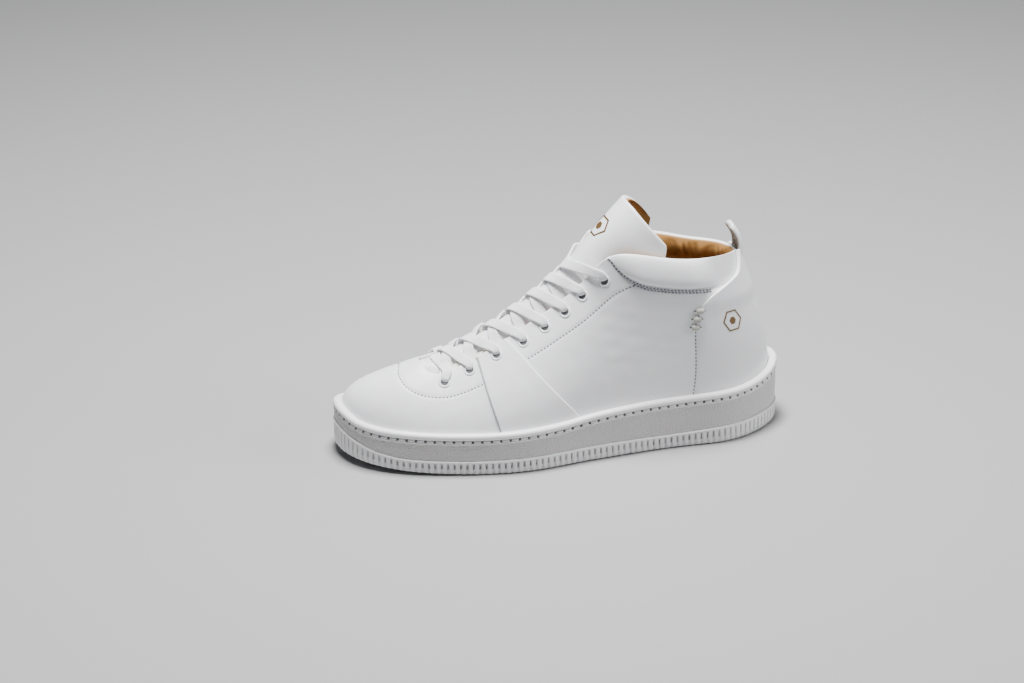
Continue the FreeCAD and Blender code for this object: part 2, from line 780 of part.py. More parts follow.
def lifted(u, w, height, size):
    """A point height above the tongue, and the tongue's outward direction there."""
    step = 0.04
    here = tongue_point(u, w, 0.0, size)
    across = tongue_point(u, w + step, 0.0, size) - tongue_point(u, w - step, 0.0, size)
    up = across.cross(Vector(0.85, 0, 0.53)).normalize()
    if up.z < 0:
        up = up * -1
    return here + up * height, up


def band(path, size):
    """A flat woven band of the lace's width along (point, outward direction) pairs."""
    curve = Part.BSplineCurve()
    curve.interpolate([point for point, _ in path])
    knots = curve.getKnots()
    outer, inner = [], []
    for i in range(15):
        place = knots[0] + (knots[-1] - knots[0]) * i / 14
        point = curve.value(place)
        heading = curve.tangent(place)[0]
        wide = heading.cross(blended(knots, [up for _, up in path], place)).normalize()
        flat = wide.cross(heading).normalize()
        narrow = 0.55 if i == 0 else 1.0
        edges = [point + wide * (size.lace_width * narrow * k / 2) for k in (-1, -0.4, 0.4, 1)]
        outer.append([p + flat * (size.lace_thickness / 2) for p in edges])
        inner.append([p - flat * (size.lace_thickness / 2) for p in edges])
    return solid_between(outer, inner)


def blended(knots, directions, place):
    """The direction at a place between knots."""
    i = max(k for k in range(len(knots) - 1) if knots[k] <= place or k == 0)
    share = min(1.0, (place - knots[i]) / (knots[i + 1] - knots[i]))
    return directions[i] * (1 - share) + directions[i + 1] * share


def make_lace(doc, size):
    """The flat lace: one straight bar in front and fourteen crossing strands."""
    low, high = 1.4, 1.4 + size.lace_thickness + 0.9
    made = {"lace_bar": [band(bar_path(size), size)], "lace_outer_run": [], "lace_inner_run": []}
    for n in range(1, len(EYELETS)):
        made["lace_outer_run"].append(band(lace_path(-1, n, size, high), size))
        made["lace_inner_run"].append(band(lace_path(1, n, size, low), size))
    return [add_shape(doc, name, Part.makeCompound(solids)) for name, solids in made.items()]


def bar_path(size):
    """Points and outward directions of the straight bar between the front pair of eyelets."""
    u, t = EYELETS[0]
    over = size.leather + size.stiffener + size.lining + 0.8 + size.lace_thickness / 2 + LACE_CLEARANCE
    halves = [[*over_facing(side, u, t, size), lifted(u, 0.9 * side, over, size)] for side in (-1, 1)]
    return [*halves[0], lifted(u, 0.0, 2.6, size), *reversed(halves[1])]


# ---------------------------------------------------------------- trim


def make_tab(doc, size):
    """The leather pull tab at the top of the heel, curved towards the opening."""
    body = doc.addObject("PartDesign::Body", "pull_tab")
    body.Label = "pull_tab"
    sketch = body.newObject("Sketcher::SketchObject", "tab_profile")
    plane = next(f for f in body.Origin.OriginFeatures if f.Role == "XZ_Plane")
    sketch.AttachmentSupport = [(plane, "")]
    sketch.MapMode = "FlatFace"
    half = size.tab_thickness / 2
    foot_x, foot_z = TAB_PIVOT[0], TAB_PIVOT[2] + 0.7
    back = [(foot_x + half, foot_z), (foot_x - 0.4 + half, foot_z + 6), (foot_x - 4.2 + half, foot_z + 13.5)]
    front = [(x - 2 * half, z) for x, z in back]
    for points in (back, front):
        curve = Part.BSplineCurve()
        curve.interpolate([Vector(x, z, 0) for x, z in points])
        sketch.addGeometry(curve)
    sketch.addGeometry(Part.LineSegment(Vector(*back[0], 0), Vector(*front[0], 0)))
    middle = Vector((back[2][0] + front[2][0]) / 2 - 0.2, back[2][1] + half, 0)
    sketch.addGeometry(Part.Arc(Vector(*back[2], 0), middle, Vector(*front[2], 0)))
    pad = body.newObject("PartDesign::Pad", "tab_pad")
    pad.Profile = sketch
    pad.setExpression("Length", "Sizes.tab_width")
    pad.Midplane = True
    return body


def strip(path, width, thickness, lift):
    """A thin thread strip on the master surface through (station, height share) points."""
    outer, inner = [], []
    for i, (u, t) in enumerate(path):
        ahead = path[min(i + 1, len(path) - 1)]
        behind = path[max(i - 1, 0)]
        heading = surface(*ahead) - surface(*behind)
        wide = heading.cross(normal(u, t)).normalize()
        for grid, height in ((outer, lift + thickness), (inner, lift)):
            grid.append([skin(u, t, -height) + wide * (width * k) for k in (-0.5, 0.0, 0.5)])
    return solid_between(outer, inner)


def mirrored(path, side):
    """The path on the outer (-1) or inner (+1) side."""
    return [(u if side < 0 else ROUND - u, t) for u, t in path]


def make_stitching(doc, size):
    """The visible thread lines of the upper."""
    count = 28
    rows = {"vamp_stitching": [], "eyestay_stitching": [], "collar_stitching": [], "heel_stitching": []}
    for side in (-1, 1):
        lines = {
            "vamp_stitching": sampled(VAMP_STITCH, 1.3, 3.36, count),
            "eyestay_stitching": sampled(EYESTAY_STITCH, 4.25, 7.6, count),
            "collar_stitching": [(u, along(COLLAR_SEAM, u) - 0.022) for u in spread(7.75, 10.0, count)],
            "heel_stitching": [(along(HEEL_SEAM, t) + 0.07, t) for t in spread(0.12, 0.5, count)],
        }
        for name, line in lines.items():
            rows[name].append(strip(mirrored(line, side), size.thread, size.thread, 0.55))
    return [add_shape(doc, name, Part.makeCompound(solids)) for name, solids in rows.items()]


def spread(start, end, count):
    return [start + (end - start) * i / count for i in range(count + 1)]


def sampled(points, start, end, count):
    return [(u, along(points, u)) for u in spread(start, end, count)]


def make_bar_tacks(doc, size):
    """Three thick hand stitches at each heel seam."""
    tacks = []
    for side in (-1, 1):
        for t in (0.66, 0.60, 0.54):
            u = along(HEEL_SEAM, t)
            station = u if side < 0 else ROUND - u
            centre = skin(station, t, -0.9)
            along_x = (surface(station + 0.1, t) - surface(station - 0.1, t)).normalize()
            capsule = Part.makeCylinder(0.55, 5.0, centre - along_x * 2.5, along_x)
            tacks.append(capsule)
    return [add_shape(doc, "heel_hand_stitches", Part.makeCompound(tacks))]


def make_badges(doc, size):
    """Plain foil rings with a solid middle: one on the outside of the heel, one on the tongue."""
    centre_u, centre_t = 10.233, 0.554
    heel = (skin(centre_u, centre_t, -0.6), normal(centre_u, centre_t))
    x = 25.0
    tongue = (Vector(x, 0, along(TONGUE_RIDGE, x)) + TONGUE_OUT * 0.35, TONGUE_OUT)
    return [badge(doc, name, *spot, size) for name, spot in (("heel_badge", heel), ("tongue_badge", tongue))]


def badge(doc, name, centre, out, size):
    """A thin six-sided ring with a small six-sided middle."""
    thick = 0.15

    def hexagon(radius):
        turns = [math.pi * k / 3 for k in range(7)]
        corners = [Vector(radius * math.cos(turn), radius * math.sin(turn), 0) for turn in turns]
        return Part.Face(Part.makePolygon(corners)).extrude(Vector(0, 0, thick))

    ring = hexagon(size.badge_radius).cut(hexagon(size.badge_radius - size.badge_ring))
    shape = Part.makeCompound([ring, hexagon(size.badge_radius * 0.34)])
    return add_shape(doc, name, shape, FreeCAD.Placement(centre, Rotation(Vector(0, 0, 1), out)))


# ---------------------------------------------------------------- whole shoe


def make_parts(doc, size):
    """Every sub-part of the shoe, from the ground up."""
    parts = make_sole(doc, size)
    for make in (
        make_upper, make_reinforcements, make_linings, make_collar, make_tongue, make_eyelets,
        make_lace, make_stitching, make_bar_tacks, make_badges,
    ):
        parts += make(doc, size)
    parts.append(make_tab(doc, size))
    return parts


def check(doc, parts):
    """Stops if an object failed to compute or a sub-part has no valid shape."""
    for item in doc.Objects:
        if {"Invalid", "Error"} & set(item.State):
            raise RuntimeError(f"{item.Label} failed to compute: {item.State}")
    for part in parts:
        if part.Shape.isNull() or not part.Shape.isValid() or not part.Shape.Solids:
            raise RuntimeError(f"{part.Label} has no valid solid")


def main():
    doc = FreeCAD.newDocument("basketball_high_top")
    size = make_sheet(doc)
    parts = make_parts(doc, size)
    doc.recompute()
    check(doc, parts)
    os.makedirs("parts", exist_ok=True)
    for part in parts:
        part.Shape.exportStep(f"parts/{part.Label}.step")


if __name__ == "__main__":
    main()
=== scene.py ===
"""Basketball high top, left shoe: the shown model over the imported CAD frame. Metres, CAD frame."""
import bpy
import json
import math
import numpy as np
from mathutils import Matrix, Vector


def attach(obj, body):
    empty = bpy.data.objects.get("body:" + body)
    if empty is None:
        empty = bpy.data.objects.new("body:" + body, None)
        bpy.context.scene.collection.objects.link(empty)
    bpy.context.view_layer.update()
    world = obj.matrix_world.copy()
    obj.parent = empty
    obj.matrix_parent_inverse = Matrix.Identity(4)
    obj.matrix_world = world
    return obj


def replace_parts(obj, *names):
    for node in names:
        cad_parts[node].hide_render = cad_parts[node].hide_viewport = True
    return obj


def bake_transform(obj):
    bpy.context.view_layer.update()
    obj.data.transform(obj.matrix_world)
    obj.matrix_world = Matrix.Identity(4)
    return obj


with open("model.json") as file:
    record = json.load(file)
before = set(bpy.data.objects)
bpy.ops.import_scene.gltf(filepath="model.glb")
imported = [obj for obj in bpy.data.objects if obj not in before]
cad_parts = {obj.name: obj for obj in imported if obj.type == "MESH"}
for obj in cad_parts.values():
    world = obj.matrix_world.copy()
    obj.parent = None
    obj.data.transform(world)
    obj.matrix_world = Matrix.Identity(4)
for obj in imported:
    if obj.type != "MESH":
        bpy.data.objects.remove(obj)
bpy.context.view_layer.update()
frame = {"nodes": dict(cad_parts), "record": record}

MM = 0.001
TAU = 2 * math.pi

# ---------------------------------------------------------------- master surface (millimetres)

STATIONS = (
    # sole x, outer y, inner y, top edge (x, y, z), low handle, high handle, inner side's fall
    (-150.0, 9.0, 9.0, (-95.0, 1.0, 63.8), (-2.0, 0.0, 19.0), (-30.0, 1.0, -10.5), 0.0),
    (-141.0, -17.5, 31.0, (-94.0, 5.5, 62.8), (-1.5, 1.0, 18.0), (-26.0, 7.0, -9.5), 0.0),
    (-115.0, -37.3, 46.0, (-87.5, 11.0, 61.3), (-0.5, 1.5, 16.0), (-12.0, 12.0, -8.5), 0.0),
    (-80.0, -48.5, 54.3, (-68.0, 13.3, 67.3), (0.0, 1.5, 17.0), (-4.0, 12.0, -11.0), 0.0),
    (-38.0, -54.4, 50.0, (-37.0, 15.0, 82.0), (0.0, 1.5, 24.0), (1.0, 13.5, -12.0), 0.0),
    (-2.0, -50.0, 41.5, (-8.0, 16.8, 99.4), (0.0, 1.5, 32.0), (2.0, 15.0, -15.5), 0.0),
    (24.0, -46.5, 38.6, (12.0, 18.8, 117.0), (0.0, 1.0, 36.0), (5.0, 14.0, -19.0), 0.0),
    (44.0, -44.3, 38.2, (24.5, 24.0, 131.5), (0.0, 1.0, 38.0), (7.0, 9.0, -26.5), 0.0),
    (60.0, -43.0, 38.0, (42.0, 28.5, 134.0), (0.0, 0.5, 36.0), (5.0, 6.0, -34.0), 0.5),
    (82.0, -42.6, 38.4, (68.0, 30.0, 129.0), (0.0, 0.0, 32.0), (5.0, 6.0, -34.0), 2.0),
    (110.0, -40.5, 37.4, (94.0, 26.5, 126.0), (0.0, 0.0, 30.0), (7.0, 7.0, -32.0), 3.5),
    (138.0, -23.8, 26.6, (113.5, 15.0, 123.5), (0.0, 0.5, 28.0), (9.0, 3.0, -30.0), 1.5),
    (150.0, 0.0, 0.0, (121.5, 0.0, 121.5), (-0.2, 0.0, 26.0), (9.5, 0.0, -28.0), 0.0),
)
HEEL = len(STATIONS) - 1
ROUND = 2 * HEEL
UPPER_INSET = 5.2  # the upper stands this far inside the sole's outline
HANDLE_DROP = 7.0  # the low handles start this far under the bead's top
SPRING_FROM = -60.0  # the sole leaves the ground here
SPRING_LENGTH = 90.0
TOE_SPRING = 5.3
SIDES = ((-1, "outer"), (1, "inner"))
BEAD_TOP = (
    (-150, 35.0), (-140, 31.2), (-125, 29.6), (-66, 28.2), (-12, 30.0), (16, 33.0),
    (44, 34.6), (85, 35.7), (120, 37.2), (138, 39.5), (150, 44.0),
)
RIB_TOP = (
    (-150, 21.5), (-144, 18.0), (-128, 12.3), (-110, 10.0), (-67, 9.0), (15, 9.6),
    (60, 9.2), (113, 11.3), (150, 12.0),
)
FOOT_FLOOR = (
    (-150, 27.5), (-140, 25.5), (-125, 22.3), (-105, 20.2), (-66, 19.5), (-12, 21.5), (44, 25.5),
    (120, 27.5), (150, 28.0),
)
FRONT_SEAM = ((0.0, 3.72), (0.43, 3.50), (1.0, 3.27))
REAR_SEAM = ((0.0, 5.35), (0.27, 4.75), (0.49, 4.39), (0.66, 4.18), (1.0, 3.85))
HEEL_SEAM = (
    (0.0, 8.9), (0.24, 9.05), (0.51, 9.18), (0.66, 9.40), (0.74, 9.73), (0.78, 10.06),
    (0.817, 10.45), (0.851, 10.85), (0.93, 11.2), (1.0, 11.42),
)
COLLAR_SEAM = (
    (7.0, 1.0), (7.08, 0.984), (7.3, 0.898), (7.73, 0.83), (8.25, 0.802), (9.0, 0.80), (12.0, 0.80),
)
VAMP_STITCH_REAR = ((2.78, 0.562), (3.16, 0.585), (3.41, 0.609))
VAMP_STITCH = (
    (0.0, 0.846), (0.2, 0.842), (0.5, 0.823), (1.0, 0.780), (1.35, 0.732), (1.72, 0.670), (2.33, 0.589),
    *VAMP_STITCH_REAR,
)
VAMP_STITCH_INNER = (
    (0.0, 0.846), (0.3, 0.855), (0.6, 0.852), (1.0, 0.826), (1.35, 0.782), (1.8, 0.70), (2.33, 0.60),
    *VAMP_STITCH_REAR,
)
EYESTAY_STITCH = ((4.2, 0.67), (4.93, 0.702), (5.47, 0.712), (6.16, 0.729), (7.11, 0.752), (7.75, 0.791))
EYELETS = (
    (2.59, 0.753), (3.14, 0.807), (3.67, 0.838), (4.19, 0.839),
    (4.67, 0.861), (5.18, 0.879), (5.73, 0.898), (6.61, 0.864),
)
TONGUE_RIDGE = (
    (-103.0, 56.5), (-96.0, 60.6), (-83.0, 63.6), (-60.0, 72.8), (-35.0, 88.0), (-10.0, 106.8),
    (3.0, 118.8), (13.0, 130.4), (26.0, 145.0), (43.0, 162.2),
)
# Where the shown lacing edge lies, as station against height share on the outer side.
THROAT = (
    (0.0, 0.998), (1.0, 0.998), (1.3, 0.992), (1.6, 0.970), (2.0, 0.925), (2.3, 0.895), (2.6, 0.903),
    (2.9, 0.912), (3.2, 0.920), (3.5, 0.935), (3.8, 0.957), (4.0, 0.974), (4.3, 0.992), (4.6, 1.0),
    (12.0, 1.0),
)
TAB_PIVOT = (121.0, 0.0, 124.2)


def along(points, x):
    """A smooth curve through (x, value) points that never overshoots them."""
    xs, ys = np.array(points, float).T
    x = np.clip(x, xs[0], xs[-1])
    slopes = np.diff(ys) / np.diff(xs)
    product = slopes[:-1] * slopes[1:]
    total = np.where(product > 0, slopes[:-1] + slopes[1:], 1.0)
    tangents = np.concatenate([[slopes[0]], np.where(product > 0, 2 * product / total, 0.0), [slopes[-1]]])
    i = np.clip(np.searchsorted(xs, x, side="right") - 1, 0, len(slopes) - 1)
    width = xs[i + 1] - xs[i]
    f = (x - xs[i]) / width
    return (
        (1 + 2 * f) * (1 - f) ** 2 * ys[i] + f * (1 - f) ** 2 * width * tangents[i]
        + f * f * (3 - 2 * f) * ys[i + 1] + f * f * (f - 1) * width * tangents[i + 1]
    )


def spline_controls():
    """Control values of the closed cubic B-spline through the stations, once round the shoe."""
    rows = []
    for i in range(ROUND):
        k = min(i, ROUND - i)
        side = -1.0 if i <= HEEL else 1.0
        x, outer_y, inner_y, top, low, high, fall = STATIONS[k]
        rows.append([
            x, outer_y if side < 0 else inner_y,
            top[0], top[1] if k == 0 else side * top[1], top[2] - (fall if side > 0 else 0.0),
            low[0], side * low[1], low[2], high[0], side * high[1], high[2],
        ])
    rows = np.array(rows)
    controls = rows
    for _ in range(40):
        controls = (6 * rows - np.roll(controls, 1, 0) - np.roll(controls, -1, 0)) / 4
    return controls


CONTROLS = spline_controls()


def station(u):
    """The closed B-spline's values at stations u."""
    u = np.asarray(u, float)
    k = np.floor(u).astype(int)
    f = (u - k)[..., None]
    weights = (
        (1 - f) ** 3 / 6, (3 * f**3 - 6 * f**2 + 4) / 6, (-3 * f**3 + 3 * f**2 + 3 * f + 1) / 6, f**3 / 6,
    )
    return sum(w * CONTROLS[(k - 1 + j) % ROUND] for j, w in enumerate(weights))


def outline(u, inset=0.0):
    """Points of the sole's outline, inset along its normal."""
    here = station(u)[..., :2]
    step = station(u + 0.01)[..., :2] - station(u - 0.01)[..., :2]
    step /= np.linalg.norm(step, axis=-1, keepdims=True)
    return here + np.stack([-step[..., 1], step[..., 0]], -1) * np.asarray(inset, float)[..., None]


def surface(u, t):
    """The master surface: station u, height share t from the foot floor to the top edge."""
    u, t = np.broadcast_arrays(np.asarray(u, float), np.asarray(t, float))
    row = station(u)
    foot_xy = outline(u, UPPER_INSET)
    foot = np.concatenate([foot_xy, along(FOOT_FLOOR, foot_xy[..., 0])[..., None]], -1)
    low = foot + row[..., 5:8]
    low[..., 2] = along(BEAD_TOP, row[..., 0]) - HANDLE_DROP + row[..., 7]
    top = row[..., 2:5]
    high = top + row[..., 8:11]
    t = t[..., None]
    return (1 - t) ** 3 * foot + 3 * t * (1 - t) ** 2 * low + 3 * t * t * (1 - t) * high + t**3 * top


def unit(v):
    return v / np.maximum(np.linalg.norm(v, axis=-1, keepdims=True), 1e-12)


def normal(u, t):
    """The master surface's outward normals."""
    high = np.minimum(np.asarray(t, float) + 0.01, 1.0)
    along_shoe = surface(u + 0.01, t) - surface(u - 0.01, t)
    return unit(np.cross(along_shoe, surface(u, high) - surface(u, high - 0.02)))


def skin(u, t, depth=0.0):
    """Points that lie depth inside the master surface."""
    u, t = np.broadcast_arrays(np.asarray(u, float), np.asarray(t, float))
    return surface(u, t) - normal(u, t) * np.asarray(depth, float)[..., None]


def ground(x):
    """Height of the sole's underside."""
    return TOE_SPRING * np.maximum(0.0, (SPRING_FROM - x) / SPRING_LENGTH) ** 2


def folded(u):
    """The outer side's station that matches station u of either side."""
    u = np.mod(u, ROUND)
    return np.minimum(u, ROUND - u)


def on_side(u, side):
    """The station on the outer (-1) or inner (1) side that the outer side's station u stands for."""
    return u if side < 0 else ROUND - u


def throat(u):
    """Height share of the lacing edge. The inner side is cut back less."""
    share = along(THROAT, folded(u))
    inner = np.mod(u, ROUND) > HEEL
    return np.where(inner, 1 - 0.4 * (1 - share), share)


def smooth(low, high, x):
    """0 before low, 1 after high, smooth between."""
    f = np.clip((np.asarray(x, float) - low) / (high - low), 0, 1)
    return f * f * (3 - 2 * f)


def travelled(points):
    """Distance along a line of points, from its start."""
    return np.concatenate([[0], np.cumsum(np.linalg.norm(np.diff(points, axis=0), axis=1))])


def signed_power(value, power):
    return math.copysign(abs(value) ** power, value)


def waves(points, size, seed, count=7):
    """Soft random relief from -1 to 1, with bumps of about that size."""
    rng = np.random.default_rng(seed)
    total = 0.0
    for _ in range(count):
        direction = unit(rng.normal(size=3)) * rng.uniform(0.6, 1.5) * TAU / (2 * np.asarray(size))
        total = total + np.sin(points @ direction + rng.uniform(0, TAU))
    return total / math.sqrt(count) / 1.4


# ---------------------------------------------------------------- meshes


def quads(rows, columns, wrap_rows=False, wrap_columns=False):
    """Quad corner indices of a grid of points, optionally closed either way."""
    i = np.arange(rows if wrap_rows else rows - 1)[:, None]
    j = np.arange(columns if wrap_columns else columns - 1)[None, :]
    up, right = (i + 1) % rows, (j + 1) % columns
    corners = [i * columns + j, up * columns + j, up * columns + right, i * columns + right]
    return np.stack(corners, -1).reshape(-1, 4)


def make_mesh(name, points, faces, material, body="shoe", sharp=40):
    """A smooth-shaded mesh of points in millimetres, on a CAD body (None leaves it unattached)."""
    data = bpy.data.meshes.new(name)
    metres = (np.asarray(points).reshape(-1, 3) * MM).tolist()
    data.from_pydata(metres, [], [list(map(int, face)) for face in faces])
    data.validate()
    data.update()
    piece = bpy.data.objects.new(name, data)
    bpy.context.scene.collection.objects.link(piece)
    data.materials.append(material)
    data.shade_smooth()
    data.set_sharp_from_angle(angle=math.radians(sharp))
    if body:
        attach(piece, body)
    return piece


def shell_faces(rows, columns):
    """Faces of a closed sheet whose outer grid comes first and whose inner grid follows."""
    count = rows * columns
    front = quads(rows, columns)
    faces = [front, front[:, ::-1] + count]
    index = np.arange(count).reshape(rows, columns)
    rim = np.concatenate([index[0, :], index[1:, -1], index[-1, -2::-1], index[-2:0:-1, 0]])
    after = np.roll(rim, -1)
    faces.append(np.stack([rim, after, after + count, rim + count], -1))
    return np.concatenate(faces)


def outward(points, faces):
    """The faces, turned so that the closed mesh's volume is positive."""
    p = np.asarray(points).reshape(-1, 3)
    a, b, c, d = (p[faces[:, k]] for k in range(4))
    volume = np.sum(np.cross(b - a, c - a) * a) + np.sum(np.cross(c - a, d - a) * a)
    return faces if volume > 0 else faces[:, ::-1]


def make_sheet(name, outer, inner, material, body="shoe", sharp=40):
    """A closed sheet between two grids of points."""
    points = np.concatenate([outer.reshape(-1, 3), inner.reshape(-1, 3)])
    faces = outward(points, shell_faces(*outer.shape[:2]))
    return make_mesh(name, points, faces, material, body, sharp)


def tube_faces(points, rows, columns, closed=False):
    """Outward faces of a tube through rows of loops: closed on itself, or with its ends capped."""
    sides = quads(rows, columns, wrap_rows=closed, wrap_columns=True)
    faces = outward(points, sides)
    index = list(range(rows * columns))
    caps = [] if closed else [index[:columns], index[-columns:][::-1]]
    if not np.array_equal(faces[0], sides[0]):
        caps = [cap[::-1] for cap in caps]
    return faces.tolist() + caps


def make_tube(name, loops, material, body="shoe", closed=False, sharp=60):
    """A tube through closed loops of points."""
    faces = tube_faces(loops, *loops.shape[:2], closed)
    return make_mesh(name, loops, faces, material, body, sharp)


def copies(name, points, faces, places, frames, material, slot, body="shoe", sharp=60):
    """One mesh with a copy of the shape at each place, turned by each frame."""
    shape = np.asarray(points)
    moved = np.einsum("vk,nkj->nvj", shape, frames) + places[:, None, :]
    every = [[[v + n * len(shape) for v in face] for face in faces] for n in range(len(places))]
    return make_mesh(name, moved, [face for group in every for face in group], material, body, sharp)


def circle(radius, sides):
    """Points of a circle as (x, y)."""
    return [(radius * math.cos(TAU * k / sides), radius * math.sin(TAU * k / sides)) for k in range(sides)]


def capsule(length, radius, flat=1.0, rings=8, sides=8):
    """A rounded bar along X, as points and faces."""
    points = []
    for i in range(rings + 1):
        turn = math.pi * i / rings
        x = -math.cos(turn) * radius + math.copysign(length / 2 - radius, i - rings / 2 + 1e-6)
        points += [(x, y, flat * z) for y, z in circle(max(math.sin(turn), 0.05) * radius, sides)]
    return points, tube_faces(points, rings + 1, sides)


# ---------------------------------------------------------------- materials


def make_material(name, color, roughness, grain=(), metallic=0.0, sheen=0.0, mottle=0.0, subsurface=0.0):
    """A principled material with bump layers (scale per metre, height in metres, kind)."""
    material = bpy.data.materials.new(name)
    material.use_nodes = True
    nodes, links = material.node_tree.nodes, material.node_tree.links
    shader = nodes["Principled BSDF"]
    for entry, value in (
        ("Base Color", (*color, 1)), ("Roughness", roughness), ("Metallic", metallic),
        ("Sheen Weight", sheen), ("Subsurface Weight", subsurface), ("Subsurface Scale", 0.002),
    ):
        shader.inputs[entry].default_value = value
    place = nodes.new("ShaderNodeTexCoord").outputs["Object"]
    if mottle:
        noise = nodes.new("ShaderNodeTexNoise")
        noise.inputs["Scale"].default_value = 45
        noise.inputs["Detail"].default_value = 4
        blend = nodes.new("ShaderNodeMix")
        blend.data_type = "RGBA"
        blend.inputs["A"].default_value = (*[c * (1 - mottle) for c in color], 1)
        blend.inputs["B"].default_value = (*color, 1)
        links.new(place, noise.inputs["Vector"])
        links.new(noise.outputs["Fac"], blend.inputs["Factor"])
        links.new(blend.outputs["Result"], shader.inputs["Base Color"])
    target = shader.inputs["Normal"]
    for scale, height, kind in reversed(grain):
        if kind == "cells":
            texture = nodes.new("ShaderNodeTexVoronoi")
            texture.feature = "SMOOTH_F1"
        else:
            texture = nodes.new("ShaderNodeTexNoise")
            texture.inputs["Detail"].default_value = 5
        texture.inputs["Scale"].default_value = scale
        bump = nodes.new("ShaderNodeBump")
        bump.inputs["Distance"].default_value = height
        bump.inputs["Strength"].default_value = 1.0
        links.new(place, texture.inputs["Vector"])
        links.new(texture.outputs["Distance" if kind == "cells" else "Fac"], bump.inputs["Height"])
        links.new(bump.outputs["Normal"], target)
        target = bump.inputs["Normal"]
    return material


WHITE = make_material(
    "white_leather", (0.86, 0.865, 0.885), 0.42, [(900, 0.00005, "noise"), (110, 0.00012, "noise")],
    subsurface=0.06,
)
TAN = make_material(
    "tan_leather", (0.46, 0.225, 0.06), 0.5, [(700, 0.00006, "noise"), (90, 0.0004, "noise")],
    mottle=0.25, sheen=0.1,
)
SUEDE = make_material("suede_edge", (0.46, 0.42, 0.37), 0.9, [(1300, 0.0004, "noise")], mottle=0.35)
TEXTILE = make_material("textile_lining", (0.75, 0.72, 0.66), 0.85)
RUBBER = make_material("white_rubber", (0.84, 0.84, 0.845), 0.38, [(500, 0.00003, "noise")])
# Warm grey rubber tone of the wall, made darker than the white rubber partly as painted shade of the wall
# under the bead.
GRAINED_AND_SHADED = make_material("grained_rubber", (0.60, 0.58, 0.575), 0.5, [(1150, 0.0008, "cells")])
# Dark grey for the strips along the middle panels' front seams: painted shade.
SEAM_SHADE = make_material("painted_seam_shade", (0.30, 0.31, 0.34), 0.8)
FOAM = make_material("foam", (0.8, 0.79, 0.76), 0.8)
BOARD = make_material("board", (0.6, 0.52, 0.4), 0.8)
STIFFENER = make_material("stiffener", (0.8, 0.78, 0.72), 0.7)
THREAD = make_material("thread", (0.15, 0.15, 0.17), 0.7, [(2600, 0.0001, "noise")])
CORD = make_material("waxed_cord", (0.46, 0.45, 0.41), 0.6, [(1800, 0.0003, "noise")])
# Near-black colour for the bars at needle holes and inside the eyelets: painted shade of the holes.
HOLE_SHADE = make_material("painted_hole_shade", (0.10, 0.10, 0.11), 0.9)
PAINT = make_material("eyelet_paint", (0.84, 0.845, 0.86), 0.22)
COTTON = make_material("cotton_lace", (0.87, 0.875, 0.89), 0.85, [(1500, 0.00025, "noise")], sheen=0.3)
GOLD = make_material("gold_foil", (0.17, 0.098, 0.035), 0.4, metallic=0.4)

SLOT_MATERIALS = {
    "white_leather": WHITE, "tan_leather": TAN, "textile_lining": TEXTILE, "collar_foam": WHITE,
    "white_rubber": RUBBER, "grained_rubber": GRAINED_AND_SHADED, "foam": FOAM, "board": BOARD,
    "stiffener": STIFFENER, "thread": THREAD, "eyelet_paint": PAINT, "cotton_lace": COTTON, "gold_foil": GOLD,
}
for part in frame["record"]["subparts"]:
    node = frame["nodes"][part["node"]]
    node.data.materials.clear()
    node.data.materials.append(SLOT_MATERIALS[part["material_slot"]])

# ---------------------------------------------------------------- sole

RIBS = 167
RIB_PHASES = np.array([-0.5, -0.2, -0.14, -0.1, 0.0, 0.1, 0.14, 0.2])
SLOT_DEPTH = 3.2
SCALLOP_DEPTH = 0.8
SOLE_STITCHES = 113


def even_stations(count, phases=(0.0,)):
    """Stations at equal steps along the outline, with the same phases inside every step."""
    dense = np.linspace(0, ROUND, 4801)
    points = outline(dense)
    lengths = travelled(points)
    steps = (np.arange(count)[:, None] + np.asarray(phases)[None, :]).ravel() / count * lengths[-1]
    return np.interp(np.mod(steps, lengths[-1]), lengths, dense)


def ring(u, inset, z):
    """Points round the shoe: inset and height for every row (first axis) and station (second)."""
    inset, z = np.broadcast_arrays(inset, z)
    spread = np.broadcast_to(u, inset.shape)
    return np.concatenate([outline(spread, inset), z[..., None]], -1)


